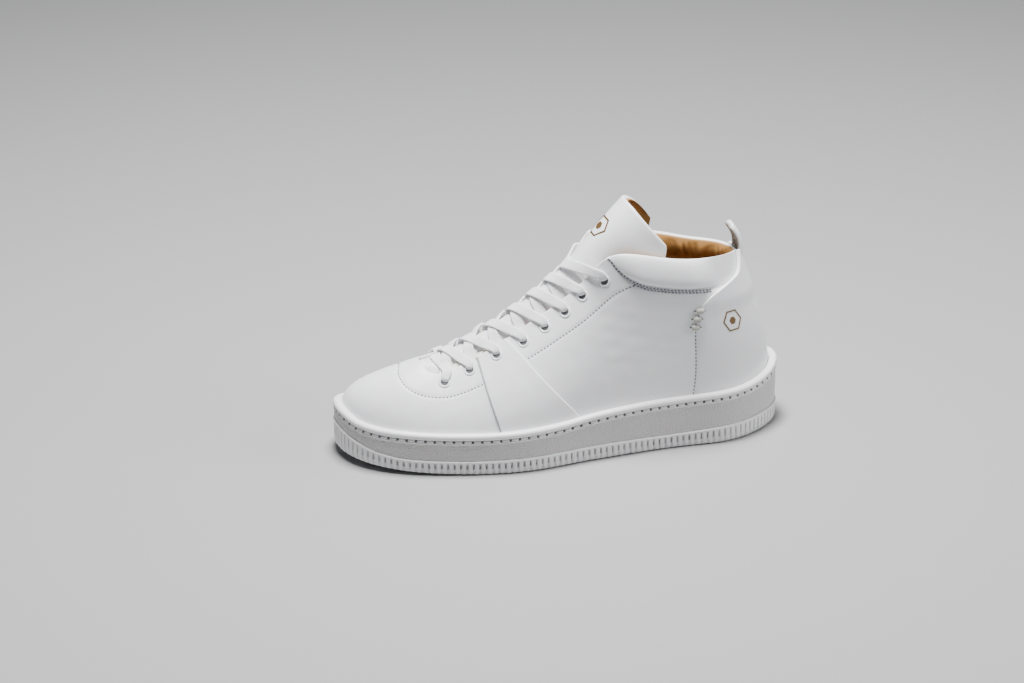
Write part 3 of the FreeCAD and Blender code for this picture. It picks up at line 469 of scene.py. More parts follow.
def make_outsole():
    """The ribbed edge band and the underside with its tread, as one closed mesh."""
    u = even_stations(RIBS, RIB_PHASES)
    phase = np.tile(RIB_PHASES, RIBS)
    x = outline(u)[:, 0]
    low, high = ground(x), along(RIB_TOP, x)
    slot_low = low + 1.9 + 0.15 * (high - low - 9)
    slot_high = high - 1.5
    middle = slot_low + 0.38 * (slot_high - slot_low)
    cut = 1 - smooth(0.1, 0.19, np.abs(phase))
    notch = 1 - smooth(0.0, 0.42, np.abs(phase))
    # Each row: height, inset, share of the slot's depth, share of the scallop's depth.
    rows = [
        (low, 2.2, 0.0, 0.2), (low + 0.25, 1.0, 0.0, 0.5), (low + 0.8, 0.35, 0.0, 0.7),
        (slot_low - 0.35, 0.1, 0.0, 0.8),
        (slot_low, 0.05, 0.12, 0.8), (slot_low + 0.6, 0.0, 0.16, 0.6), (middle - 0.4, 0.0, 0.2, 0.5),
        (middle, 0.0, 0.95, 0.3), (middle + 0.5, 0.0, 1.0, 0.3),
        (slot_high - 0.6, 0.05, 1.0, 0.3), (slot_high - 0.25, 0.05, 0.9, 0.2), (slot_high, 0.1, 0.3, 0.1),
        (slot_high + 0.3, 0.12, 0.0, 0.0), (high - 0.75, 0.15, 0.0, 0.0), (high - 0.6, -0.15, 0.0, 0.0),
        (high - 0.3, -0.38, 0.0, 0.0), (high, -0.42, 0.0, 0.0), (high + 0.3, -0.3, 0.0, 0.0),
        (high + 0.5, 0.0, 0.0, 0.0), (high + 0.55, 0.6, 0.0, 0.0), (high + 0.5, 4.0, 0.0, 0.0),
    ]
    side = np.stack([
        ring(u, inset + SLOT_DEPTH * deep * cut + SCALLOP_DEPTH * scallop * notch, z)
        for z, inset, deep, scallop in rows
    ])
    centre = np.stack([np.clip(x, -118, 126), 4.0 * smooth(20, -120, x)], -1)
    under = []
    for k in np.linspace(1, 0, 46)[1:]:
        flat = centre + (side[0][:, :2] - centre) * k
        rim = smooth(0.0, 0.1, 1 - k)
        zigzag = np.abs(np.mod(flat[:, 1] / 9.0, 2.0) - 1.0) * 5.0
        groove = smooth(0.55, 0.75, np.cos((flat[:, 0] + zigzag) / 6.2 * TAU) * 0.5 + 0.5)
        under.append(np.concatenate([flat, (ground(flat[:, 0]) + 1.6 * groove * rim)[:, None]], -1))
    top = []
    for k in np.linspace(1, 0, 8)[1:]:
        flat = centre + (side[-1][:, :2] - centre) * k
        top.append(np.concatenate([flat, (along(RIB_TOP, flat[:, 0]) + 0.5)[:, None]], -1))
    loops = np.concatenate([np.stack(under[::-1]), side, np.stack(top)])
    piece = make_tube("outsole_ribbed", loops, RUBBER, sharp=38)
    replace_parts(piece, "outsole")


def make_band(name, u, rows, material, sharp=60):
    """A closed band round the shoe through rows of (height, inset)."""
    loops = np.stack([ring(u, inset, z) for z, inset in rows], 1)
    return make_tube(name, loops, material, closed=True, sharp=sharp)


def make_cup():
    """The grained wall with the stitch groove, the smooth half-round bead and the lip between them."""
    u = even_stations(620)
    x = outline(u)[:, 0]
    low, high = along(RIB_TOP, x) + 0.45, along(BEAD_TOP, x)
    rows = [(low, 4.6), (low, 0.9), (low + 0.4, 0.75)]
    for f in (0.25, 0.5, 0.75, 1.0):
        rows.append((low + 0.4 + (high - 7.6 - low) * f, 0.75 - 0.35 * math.sin(math.pi * f)))
    groove = [
        (-6.9, 0.7), (-6.7, 0.45), (-6.45, 0.4), (-6.2, 0.55), (-6.05, 1.2), (-5.9, 1.75), (-4.6, 1.85),
        (-4.2, 1.6), (-3.9, 1.4), (-3.5, 4.6),
    ]
    rows += [(high + lift, inset) for lift, inset in groove]
    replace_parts(make_band("sole_wall", u, rows, GRAINED_AND_SHADED, 50), "sole_cup")

    section = [
        (-4.0, 4.9), (-4.15, 1.3), (-4.1, 0.85), (-3.8, 0.45), (-3.2, 0.12), (-2.5, -0.05),
        (-1.8, -0.02), (-1.1, 0.25), (-0.55, 0.7), (-0.15, 1.4), (0.05, 2.3), (0.0, 3.3), (-0.3, 4.2),
        (-0.9, 5.0), (-1.8, 5.6),
    ]
    ripple = 0.06 * np.sin(u * 37) + 0.05 * np.sin(u * 23 + 1)
    rows = [(high + lift, inset + ripple * (inset < 4)) for lift, inset in section]
    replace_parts(make_band("bead", u, rows, RUBBER), "welt_bead")

    section = [
        (-5.95, 1.3), (-5.9, 0.7), (-6.05, 0.3), (-6.35, 0.12), (-6.7, 0.22), (-6.85, 0.6), (-6.85, 1.3),
    ]
    make_band("sole_lip", u, [(high + lift, inset) for lift, inset in section], RUBBER)


def frames_along(tangents, normals):
    """Rows of each frame: along the line, across it, and outward."""
    tangents = unit(tangents)
    across = unit(np.cross(normals, tangents))
    return np.stack([tangents, across, np.cross(tangents, across)], 1)


def make_sole_stitches():
    """The thread in the groove under the bead, one stitch after another, and dark bars between the stitches
    as painted shade of the needle holes.
    """
    def groove_line(u, inset):
        return np.concatenate([outline(u, inset), along(BEAD_TOP, outline(u)[:, :1]) - 5.2], -1)

    for name, shift, shape, material, inset in (
        ("sole_thread", 0.0, capsule(4.9, 0.92), RUBBER, 1.1),
        # The dark bars between the stitches are painted shade of the needle holes.
        ("sole_thread_hole_shade", 0.5, capsule(2.8, 0.45), HOLE_SHADE, 1.0),
    ):
        u = even_stations(SOLE_STITCHES, (shift,))
        places = groove_line(u, inset)
        tangents = groove_line(u + 0.02, inset) - groove_line(u - 0.02, inset)
        normals = (groove_line(u, 0.0) - places) * np.array([1.0, 1.0, 0.0])
        piece = copies(name, *shape, places, frames_along(tangents, unit(normals)), material, "thread")
        if name == "sole_thread":
            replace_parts(piece, "sole_stitching")


make_outsole()
make_cup()
make_sole_stitches()

# ---------------------------------------------------------------- stitch lines of the upper

PITCH = 2.4  # from one stitch to the next


def even_line(u, t, pitch):
    """The line resampled at equal steps along the surface."""
    points = surface(u, t)
    lengths = travelled(points)
    count = max(2, round(lengths[-1] / pitch))
    steps = (np.arange(count) + 0.5) / count * lengths[-1]
    return np.interp(steps, lengths, u), np.interp(steps, lengths, t)


def stitch_lines():
    """Every visible thread line of the upper as (name, stations, height shares, pitch)."""
    u = np.linspace(-3.40, 3.40, 520)
    share = np.where(u < 0, along(VAMP_STITCH_INNER, -u), along(VAMP_STITCH, u))
    share = np.convolve(np.pad(share, 12, mode="edge"), np.ones(25) / 25, "valid")  # rounds the corners
    lines = [("vamp", u, share, PITCH)]
    u = np.linspace(4.2, 7.8, 300)
    paired = [("eyestay", u, along(EYESTAY_STITCH, u), PITCH)]
    for start, drop in ((7.02, 0.009), (7.75, 0.024)):
        u = np.linspace(start, 9.82, 300)
        paired.append(("collar", u, along(COLLAR_SEAM, u) - drop, PITCH))
    t = np.linspace(0.05, 0.52, 120)
    paired.append(("heel", along(HEEL_SEAM, t) + 0.02, t, 2.5))
    for name, u, t, pitch in paired:
        lines += [(name, on_side(u, side), t, pitch) for side, _ in SIDES]
    return lines


LINES = stitch_lines()


def near(points, line_points):
    """Distance from every point to the nearest of the line's points."""
    flat = points.reshape(-1, 3)
    best = np.full(len(flat), 1e9)
    for start in range(0, len(flat), 4000):
        part = flat[start:start + 4000]
        gaps = np.linalg.norm(part[:, None, :] - line_points[None, :, :], axis=-1)
        best[start:start + 4000] = gaps.min(1)
    return best.reshape(points.shape[:-1])


GROOVES = np.concatenate([surface(u, t)[::2] for _, u, t, _ in LINES])
EYES = np.array([surface(on_side(u, side), t) for u, t in EYELETS for side, _ in SIDES])


def relief(points, u, t):
    """Height of the leather over the master surface: soft waves, stitch grooves and dimples."""
    height = 0.22 * waves(points, 26, 3) + 0.09 * waves(points, 9, 5)
    side = folded(u)
    creased = smooth(5.0, 6.5, side) * (1 - smooth(8.6, 9.3, side))
    creased = creased * smooth(0.2, 0.4, t) * (1 - smooth(0.62, 0.75, t))
    height += 0.15 * creased * waves(points * np.array([0.35, 0.35, 1.0]), 5.5, 11)
    height -= 0.32 * np.exp(-(near(points, GROOVES) / 1.0) ** 2)
    height -= 0.25 * np.exp(-(near(points, EYES) / 4.0) ** 4)
    return height


def make_facing_linings():
    """The tan leather that backs the lacing edge, folded flush with it, and the throat's textile."""
    share = np.array([0.14, 0.09, 0.05, 0.025, 0.01, 0.003])
    for side, word in SIDES:
        line = np.linspace(2.5, 7.15, 150)
        u, drop = np.meshgrid(line if side < 0 else ROUND - line[::-1], share, indexing="ij")
        t = throat(u) - drop
        make_sheet(f"facing_lining_{word}", skin(u, t, 1.55), skin(u, t, 3.3), TAN)
    share[-1] = 0.004
    u, drop = np.meshgrid(np.mod(np.linspace(-2.48, 2.48, 120), ROUND), share, indexing="ij")
    t = throat(u) - drop
    make_sheet("throat_lining", skin(u, t, 1.5), skin(u, t, 4.4), TEXTILE)


def make_stitches():
    """Every thread line of the upper, stitch by stitch."""
    for name in ("vamp", "eyestay", "collar", "heel"):
        places, frames = [], []
        for _, u, t, pitch in (line for line in LINES if line[0] == name):
            us, ts = even_line(u, t, pitch)
            here = skin(us, ts, -lift_of(us, ts) - 0.03)
            places.append(here)
            frames.append(frames_along(np.gradient(here, axis=0), normal(us, ts)))
        places, frames = np.concatenate(places), np.concatenate(frames)
        piece = copies(f"{name}_thread", *capsule(1.55, 0.42, 0.7), places, frames, THREAD, "thread")
        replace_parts(piece, f"{name}_stitching")


# ---------------------------------------------------------------- leather panels

LEATHER = 1.5
EDGE_ROUND = 0.7
STRAP_LIFT = 0.75


def seam(points, side, shift=0.0):
    return lambda t: on_side(along(points, t) + shift, side)


def spaced(length, step, rolled):
    """Shares from 0 to 1 with close rows at the rolled ends."""
    close = [0.0, 0.05, 0.15, 0.3, 0.5, 0.8, 1.2]
    start = [d / length for d in close] if rolled[0] else [0.0]
    end = [1 - d / length for d in reversed(close)] if rolled[1] else [1.0]
    count = max(2, round((end[0] - start[-1]) * length / step))
    return np.array(start[:-1] + np.linspace(start[-1], end[0], count + 1).tolist() + end[1:])


def patch(left, right, low, high, a, b):
    """Stations and height shares of the grid between two seams and two height limits."""
    a, b = np.meshgrid(a, b, indexing="ij")
    t = b.copy()
    for _ in range(40):
        u = left(t) + a * (right(t) - left(t))
        t = 0.5 * t + 0.5 * (low(u) + b * (high(u) - low(u)))
    return u, t


def edge_distance(points, axis):
    """Distance of every point from the grid's two ends along an axis."""
    steps = np.linalg.norm(np.diff(points, axis=axis), axis=-1)
    pad = [(0, 0), (0, 0)]
    pad[axis] = (1, 0)
    run = np.cumsum(np.pad(steps, pad), axis=axis)
    total = np.take(run, [-1], axis=axis)
    return run, total - run


def make_panel(name, left, right, low, high, rolls, sizes, lift=0.0, step=1.4, extra=None):
    """A leather panel, lift above the surface, with its rolled edges marked (left, right, low, high)."""
    a = spaced(sizes[0], step, rolls[:2])
    b = spaced(sizes[1], step, rolls[2:])
    u, t = patch(left, right, low, high, a, b)
    base = surface(u, t)
    drop = np.zeros_like(u)
    for rolled, distance in zip(rolls, [*edge_distance(base, 0), *edge_distance(base, 1)]):
        if rolled:
            d = np.clip(distance, 0, EDGE_ROUND)
            drop = np.maximum(drop, EDGE_ROUND - np.sqrt(EDGE_ROUND**2 - (EDGE_ROUND - d) ** 2))
    height = relief(base, u, t) + lift - drop
    if extra is not None:
        height = height + extra(u, t)
    inner = skin(u, t, LEATHER - 0.1)
    return make_sheet(name, skin(u, t, -height), inner, WHITE, sharp=55)


def in_strap(u, t):
    """True on the middle panels, which lie over their neighbours."""
    side = folded(u)
    return (side > along(FRONT_SEAM, t)) & (side < along(REAR_SEAM, t))


def in_heel(u, t):
    return folded(u) > along(HEEL_SEAM, t)


def heel_lift(u, t):
    """Lift of the heel panel: flush low down, and a thick folded flap over the collar."""
    return 0.1 + 1.0 * smooth(0.60, 0.72, t)


def lift_of(u, t):
    """Height of the topmost leather over the master surface."""
    points = surface(u, t)
    panel = np.where(in_strap(u, t), STRAP_LIFT, 0) + np.where(in_heel(u, t), heel_lift(u, t), 0)
    return relief(points, u, t) + panel


def collar_fall(u, t):
    """The quarters' top edge dips under the collar's roll."""
    gap = along(COLLAR_SEAM, folded(u)) - t
    return -1.9 * np.exp(-(gap / 0.02) ** 2) * smooth(7.05, 7.6, folded(u))


def under_collar(u):
    """Height share of the quarters' top edge."""
    return np.minimum(along(COLLAR_SEAM, folded(u)) + 0.004, throat(u))


def make_upper():
    """The leather panels, from the toe to the heel."""
    floor = np.zeros_like  # height share 0 at every station
    vamp = make_panel(
        "vamp_leather", lambda t: -along(FRONT_SEAM, t) - 0.06, seam(FRONT_SEAM, -1, 0.06), floor, throat,
        (False, False, False, True), (260, 80), step=1.5,
    )
    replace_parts(vamp, "vamp")
    for side, word in SIDES:
        strap = make_panel(
            f"mid_panel_{word}_leather", *[seam(line, side) for line in (FRONT_SEAM, REAR_SEAM)][::-side],
            floor, throat, (True, True, False, True), (42, 85), lift=STRAP_LIFT,
        )
        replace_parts(strap, f"mid_panel_{word}")
        quarter = make_panel(
            f"quarter_{word}_leather", *[seam(REAR_SEAM, side, -0.06), seam(HEEL_SEAM, side, 0.03)][::-side],
            floor, under_collar, (False, False, False, True), (130, 105), extra=collar_fall,
        )
        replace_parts(quarter, f"quarter_{word}")
    heel = make_panel(
        "heel_panel_leather", seam(HEEL_SEAM, -1), seam(HEEL_SEAM, 1), floor, throat,
        (True, True, False, True), (110, 100), extra=heel_lift,
    )
    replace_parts(heel, "heel_panel")


def make_seam_shade_strips():
    """A dark strip along each middle panel's front seam: painted shade of the seam's gap."""
    t = np.linspace(0.02, 0.985, 160)
    for side, word in SIDES:
        u = np.mod(on_side(along(FRONT_SEAM, t) - 0.012, side), ROUND)
        t_low = np.minimum(t, throat(u) - 0.012)
        base = relief(surface(u, t_low), u, t_low)
        step = unit(surface(u + 0.02, t_low) - surface(u - 0.02, t_low))
        loops = [
            skin(u, t_low, -(base + height)) - side * shift * step
            for shift, height in ((-0.25, 0.1), (0.25, 0.1), (0.3, 0.62), (-0.1, 0.62))
        ]
        # The dark grey strip is painted shade along the front seam.
        make_tube(f"seam_shade_strip_{word}", np.stack(loops, 1), SEAM_SHADE, sharp=40)


make_upper()
make_seam_shade_strips()
make_facing_linings()
make_stitches()

# ---------------------------------------------------------------- collar

COLLAR_POWER = 0.84  # how square the roll's section is
COLLAR_BULGE = 4.9
COLLAR_THICK = 6.6


def collar_spot(u, height):
    """The roll at a height of its section (-1 to 1): base, inward direction, thickness, taper, tuck."""
    side = folded(u)
    taper = 0.25 + 0.75 * smooth(7.0, 8.1, side)
    tuck = smooth(9.3, 10.2, side)  # the roll goes under the heel panel
    share = 0.5 + 0.5 * height
    bottom = along(COLLAR_SEAM, side) + 0.006
    t = bottom + share * (1 - bottom)
    inward = -unit(normal(u, t) * np.array([1.0, 1.0, 0.0]))
    return skin(u, t, 1.8 * tuck), inward, (COLLAR_THICK - 3.2 * share**2) * taper, taper, tuck


def make_collar():
    """The padded leather roll and the tan leather inside it."""
    u = np.linspace(7.02, ROUND - 7.02, 330)
    loops = []
    for turn in np.linspace(0, TAU, 45)[:-1]:
        height, reach = signed_power(math.sin(turn), COLLAR_POWER), signed_power(math.cos(turn), COLLAR_POWER)
        base, inward, thick, taper, tuck = collar_spot(u, height)
        bulge = COLLAR_BULGE * (1 - 0.4 * (0.5 + 0.5 * height)) * taper * (1 - tuck)
        depth = (bulge if reach < 0 else thick) * reach + 0.4 * (1 - tuck)
        loops.append(base + inward * depth[:, None])
    loops = np.stack(loops, 1)
    loops[..., 2] += waves(loops.reshape(-1, 3), 18, 21).reshape(loops.shape[:2]) * 0.25
    roll = make_tube("collar_roll", loops, WHITE, sharp=70)
    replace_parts(roll, "collar_pad")

    u = np.linspace(7.25, ROUND - 7.25, 420)
    side = folded(u)
    outer, inner = [], []
    for step in np.linspace(0, 1, 34):
        turn = math.radians(62) - step * math.radians(152)
        reach = max(0.0, math.cos(turn)) ** COLLAR_POWER
        if step > 0.9:
            reach = max(reach, 0.62)
        base, inward, thick, _, tuck = collar_spot(u, signed_power(math.sin(turn), COLLAR_POWER))
        depth = thick * reach + 0.4 * (1 - tuck) + 0.25
        fold = 0.45 * np.sin(side * 21 + 3 * np.sin(side * 5)) * math.sin(math.pi * min(1, step * 1.1)) ** 2
        fold = fold + 0.3 * np.sin(side * 9 + 4 * step)
        fold = fold * smooth(0.05, 0.3, step) * (1 - smooth(0.75, 1.0, step))
        inner.append(base + inward * depth[:, None])
        outer.append(base + inward * (depth + 0.55 + np.maximum(fold, -0.3))[:, None])
    lining = make_sheet(
        "collar_leather_lining", np.stack(outer, 1), np.stack(inner, 1), TAN, sharp=60,
    )
    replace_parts(lining, "collar_lining")


make_collar()

# ---------------------------------------------------------------- tongue

TONGUE_OUT = np.array([-math.sqrt(0.5), 0, math.sqrt(0.5)])
TONGUE_THICK = 3.6
UNDER = 4.9  # the tongue's outside lies this far inside the master surface
RIDGE_LAG = 6.0  # the ridge's x lies this far in front of the lacing edge's


def ridge_point(x, depth):
    """Points that lie depth under the tongue's ridge line."""
    x = np.asarray(x, float)
    slope = along(TONGUE_RIDGE, x + 1) - along(TONGUE_RIDGE, x - 1)
    down = unit(np.stack([slope, 0 * x, -2 + 0 * x], -1))
    return np.stack([x, 0 * x, along(TONGUE_RIDGE, x)], -1) + down * np.asarray(depth, float)[..., None]


def base_tongue(u, w, depth):
    """The tongue under the lacing: w from the outer wing (-2) over the ridge (0) to the inner (2)."""
    u, w = np.broadcast_arrays(np.asarray(u, float), np.asarray(w, float))
    share = np.abs(w)
    stations = np.where(w > 0, ROUND - u, u)
    under = UNDER + depth
    rim = throat(stations) - 0.03
    edge = skin(stations, rim, under + 0 * u)
    rise = unit(edge - skin(stations, rim - 0.04, under + 0 * u))
    top = ridge_point(surface(u, 1.0)[..., 0] - RIDGE_LAG, depth + 0 * u)
    level = np.zeros_like(top)
    level[..., 1] = np.copysign(np.minimum(9.5, 0.55 * np.abs(edge[..., 1])), w)
    s = np.minimum(share, 1.0)[..., None]
    arch = (1 - s) ** 3 * top + 3 * s * (1 - s) ** 2 * (top + level)
    arch += 3 * s * s * (1 - s) * (edge + rise * 6) + s**3 * edge
    wing = skin(stations, rim - 0.25 * np.maximum(share - 1, 0), under + 0 * u)
    return np.where(share[..., None] < 1, arch, wing)


def top_tongue(x, w, depth):
    """The tongue's free top: an arch across the ridge line that opens a little towards its end."""
    x, w = np.broadcast_arrays(np.asarray(x, float), np.asarray(w, float))
    turn = 0.5 * math.pi * np.abs(w) / 2
    open_end = smooth(12, 34, x)
    half = 19.0 + 6.5 * open_end
    reach = 27.0 + 15.0 * open_end
    across = np.copysign((half - depth) * np.sin(turn) ** 0.92, w)
    back = depth + (reach - depth) * (1 - np.cos(turn) ** 0.95)
    return np.stack([x, across, along(TONGUE_RIDGE, x)], -1) - TONGUE_OUT * back[..., None]


def tongue(v, w, depth):
    """The whole tongue: v is the ridge's x."""
    v, w = np.broadcast_arrays(np.asarray(v, float), np.asarray(w, float))
    dense = np.linspace(0.4, 7.1, 300)
    stations = np.interp(v + RIDGE_LAG, surface(dense, 1.0)[:, 0], dense)
    share = smooth(-2, 17, v)[..., None]
    low = base_tongue(np.minimum(stations, 7.0), w, depth)
    high = top_tongue(np.maximum(v, -4), w, depth)
    return low * (1 - share) + high * share


def make_tongue():
    """The padded tongue in one piece and its tan lining."""
    v = np.concatenate([np.linspace(-101, 41.7, 130), [42.1, 42.4, 42.65, 42.83, 42.95, 43.0]])
    w = np.linspace(-2, 2, 81)
    grid_v, grid_w = np.meshgrid(v, w, indexing="ij")
    end = np.clip((grid_v - 41.7) / 1.3, 0, 1)
    outer_fall = 1.7 * np.maximum(-grid_w - 0.5, 0)
    inner_rise = 3.6 * np.sin(np.pi * np.clip((grid_w - 0.1) / 1.8, 0, 1))
    corner_fall = 5.5 * smooth(1.74, 2.0, np.abs(grid_w))
    grid_v = grid_v - (outer_fall - inner_rise + corner_fall) * smooth(20, 43, grid_v)
    side = np.clip((np.abs(grid_w) - 1.93) / 0.07, 0, 1)
    trim = 0.9 * np.maximum(1 - np.sqrt(1 - np.minimum(end, 1) ** 2), 1 - np.sqrt(1 - side**2))
    soft = 0.3 * waves(np.stack([grid_v, grid_w * 18, 0 * grid_v], -1), 17, 31)
    outer = tongue(grid_v, grid_w, trim - soft)
    inner = tongue(grid_v, grid_w, TONGUE_THICK - 0.6 - 0.5 * trim)
    white = make_sheet("tongue", outer, inner, WHITE, body=None, sharp=60)
    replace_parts(white, "tongue_base", "tongue_top")
    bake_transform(white)
    fold = 0.35 * np.sin(grid_v * 0.55 + 2 * np.sin(grid_w * 2)) * smooth(10, 25, grid_v)
    outer = tongue(grid_v, grid_w * 0.985, TONGUE_THICK - 0.55)
    inner = tongue(grid_v, grid_w * 0.985, TONGUE_THICK + 0.5 + 0.5 * fold)
    tan = make_sheet("tongue_leather_lining", outer, inner, TAN, body=None, sharp=60)
    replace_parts(tan, "tongue_base_lining", "tongue_top_lining")
    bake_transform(tan)


make_tongue()

# ---------------------------------------------------------------- lacing

LACE_WIDTH = 6.9
LACE_THICK = 1.8


def eyelet_frames(side):
    """Centres and frames (along the row, across, outward) of one side's eyelets."""
    u, t = np.array(EYELETS).T
    u = on_side(u, side)
    out = normal(u, t)
    lift = lift_of(u, t) + 0.05
    tangents = surface(u + 0.02, t) - surface(u - 0.02, t)
    return skin(u, t, -lift), frames_along(tangents, out)


def make_eyelets():
    """Round painted eyelets, with dark barrels that are painted shade inside the holes."""
    sides = 40
    section = [
        (2.35, -3.2), (2.35, -0.2), (2.45, 0.3), (2.8, 0.62), (3.3, 0.68), (3.8, 0.42), (4.1, 0.0),
        (4.05, -0.5), (2.6, -0.6), (2.6, -3.2),
    ]
    rim = [(x, y, z) for radius, z in section for x, y in circle(radius, sides)]
    rim = rim, tube_faces(rim, len(section), sides, closed=True)
    barrel = [(x, y, z) for z in (-2.6, 0.12) for x, y in circle(2.4, sides)]
    barrel = barrel, tube_faces(barrel, 2, sides)
    for side, word in SIDES:
        places = eyelet_frames(side)
        piece = copies(f"eyelet_rings_{word}", *rim, *places, PAINT, "eyelet_paint", sharp=70)
        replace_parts(piece, f"eyelets_{word}")
        # Dark barrels inside the rings: painted shade of the eyelet holes.
        copies(f"eyelet_barrel_shade_{word}", *barrel, *places, HOLE_SHADE, "eyelet_paint")


def over_tongue(u, w, height):
    """Points height above the tongue, and the tongue's outward directions."""
    u, w = np.asarray(u, float), np.asarray(w, float)
    v = surface(u, 1.0)[..., 0] - RIDGE_LAG
    sideways = tongue(v, w + 0.05, 0) - tongue(v, w - 0.05, 0)
    out = unit(np.cross(sideways, tongue(v + 1, w, 0) - tongue(v - 1, w, 0)))
    out = np.where(out[..., 2:] < 0, -out, out)
    return tongue(v, w, 0) + out * np.asarray(height)[..., None], out


def from_eyelet(side, n):
    """How a lace comes out of an eyelet and turns towards the lacing edge: rows of point, outward, size."""
    u, t = EYELETS[n]
    where = np.array(on_side(u, side))
    base, out = skin(where, t), normal(where, t)
    rise = unit(skin(where, t + 0.01) - base)
    lift = float(lift_of(where, np.array(t)))
    return [
        (base + rise * 0.8 - out * 3.2, -rise, (3.4, 1.7)),
        (base + rise * 0.9 - out * 0.4, -rise, (3.5, 1.8)),
        (base + rise * 1.5 + out * (lift + 0.9), unit(0.8 * out - rise), (4.4, 1.9)),
        (base + rise * 3.6 + out * (lift + 1.5), unit(out - 0.15 * rise), (5.8, LACE_THICK)),
    ]


def taut(points, upward):
    """The points raised to the tight line over them, in the upright plane through the ends."""
    ahead = unit(points[-1] - points[0])
    up = unit(upward - ahead * np.dot(upward, ahead))
    s, height = (points - points[0]) @ ahead, (points - points[0]) @ up
    hull = []
    for k in np.argsort(s):
        while len(hull) > 1:
            a, b = hull[-2], hull[-1]
            if (height[b] - height[a]) * (s[k] - s[a]) > (height[k] - height[a]) * (s[b] - s[a]):
                break
            hull.pop()
        hull.append(k)
    even = np.linspace(0, s[-1], 14)
    tight = np.interp(even, s[hull], height[hull])
    return points[0] + even[:, None] * ahead + tight[:, None] * up


def strand_points(side, n, lift, rng):
    """Points, outward directions and sizes of one crossing strand, from its eyelet to the far facing."""
    u_near, t_near = EYELETS[n]
    u_far, t_far = EYELETS[n - 1]
    near_station, far_station = on_side(u_near, side), on_side(u_far, -side)
    rows = from_eyelet(side, n)
    lean = (u_near - u_far) * side
    rim, far_rim = float(throat(np.array(near_station))), float(throat(np.array(far_station)))
    under, outs = [rows[-1][0]], [rows[-1][1]]
    for share in (0.35, 0.7, 0.98):
        where, t = near_station + 0.16 * lean * share, t_near + (rim - t_near) * share
        height = float(lift_of(np.array(where), np.array(t))) + 0.95
        under.append(skin(where, t, -height))
        outs.append(normal(where, t))
    for share in np.linspace(0.1, 0.95, 12):
        w = side * (1 - 2 * share)
        u = u_near + (u_far - u_near) * (0.16 + 0.84 * share)
        where, out = over_tongue(u, w, 0.95 + lift * (1 - smooth(0.3, 0.9, abs(w))))
        under.append(where)
        outs.append(out)
    under.append(skin(far_station, far_rim, 3.9))
    outs.append(normal(far_station, far_rim))
    under, outs = np.array(under), np.array(outs)
    line = taut(under, outs.mean(0))
    run = travelled(under)
    even = np.linspace(0, run[-1], len(line))
    turned = np.stack([np.interp(even, run, outs[:, k]) for k in range(3)], 1)
    width = LACE_WIDTH + rng.normal(0, 0.15)
    for place, out, share in list(zip(line, turned, np.linspace(0, 1, len(line))))[1:]:
        size = (5.8 + (width - 5.8) * smooth(0, 0.25, share), LACE_THICK - 0.9 * smooth(0.6, 1.0, share))
        rows.append((place, unit(out), size))
    hidden = (t_far + far_rim) / 2
    rows.append((skin(far_station, hidden, 4.1), normal(far_station, hidden), (6.0, 0.9)))
    return tuple(np.array([row[k] for row in rows]) for k in range(3))


def smooth_line(rows, count):
    """Catmull-Rom through the rows at even steps of length (rows may hold any numbers)."""
    points = rows[:, :3]
    lengths = np.concatenate([[0], np.cumsum(np.linalg.norm(np.diff(points, axis=0), axis=1) ** 0.5)])
    ghost = np.concatenate([[2 * rows[0] - rows[1]], rows, [2 * rows[-1] - rows[-2]]])
    knots = np.concatenate([[2 * lengths[0] - lengths[1]], lengths, [2 * lengths[-1] - lengths[-2]]])

    def value(s):
        i = int(np.clip(np.searchsorted(lengths, s, side="right") - 1, 0, len(lengths) - 2)) + 1
        p, t = ghost[i - 1:i + 3], knots[i - 1:i + 3]
        for spans in (((0, 1), (1, 2), (2, 3)), ((0, 2), (1, 3)), ((1, 2),)):
            p = [
                (t[b] - s) / (t[b] - t[a]) * p[k] + (s - t[a]) / (t[b] - t[a]) * p[k + 1]
                for k, (a, b) in enumerate(spans)
            ]
        return p[0]

    dense = np.array([value(s) for s in np.linspace(0, lengths[-1], count * 6)])
    run = travelled(dense[:, :3])
    even = np.linspace(0, run[-1], count)
    return np.stack([np.interp(even, run, dense[:, k]) for k in range(dense.shape[1])], -1)


def woven_band(points, outs, sizes, count=110, sides=20):
    """Loops of a flat woven band along the points, with its selvedges and a slight herringbone."""
    rows = smooth_line(np.concatenate([points, outs, sizes], 1), count)
    line, out = rows[:, :3], rows[:, 3:6]
    heading = unit(np.gradient(line, axis=0))
    across = unit(np.cross(heading, out))
    up = np.cross(across, heading)
    run = travelled(line)
    loops = []
    for c, d in circle(1.0, sides):
        x, z = signed_power(c, 0.8), signed_power(d, 0.62)
        ribbed = 1 + 0.05 * np.sin(run * 5.2 + abs(x) * 7) * abs(d)
        cup = 0.25 * (x * x - 0.4)
        loops.append(
            line + across * (rows[:, 6] / 2 * x)[:, None] + up * (rows[:, 7] / 2 * z * ribbed + cup)[:, None]
        )
    return np.stack(loops, 1)


def join_tubes(name, tubes, material):
    """Several capped tubes as one mesh."""
    faces, base = [], 0
    for loops in tubes:
        faces += [[v + base for v in face] for face in tube_faces(loops, *loops.shape[:2])]
        base += loops.shape[0] * loops.shape[1]
    points = np.concatenate([loops.reshape(-1, 3) for loops in tubes])
    return make_mesh(name, points, faces, material, sharp=70)


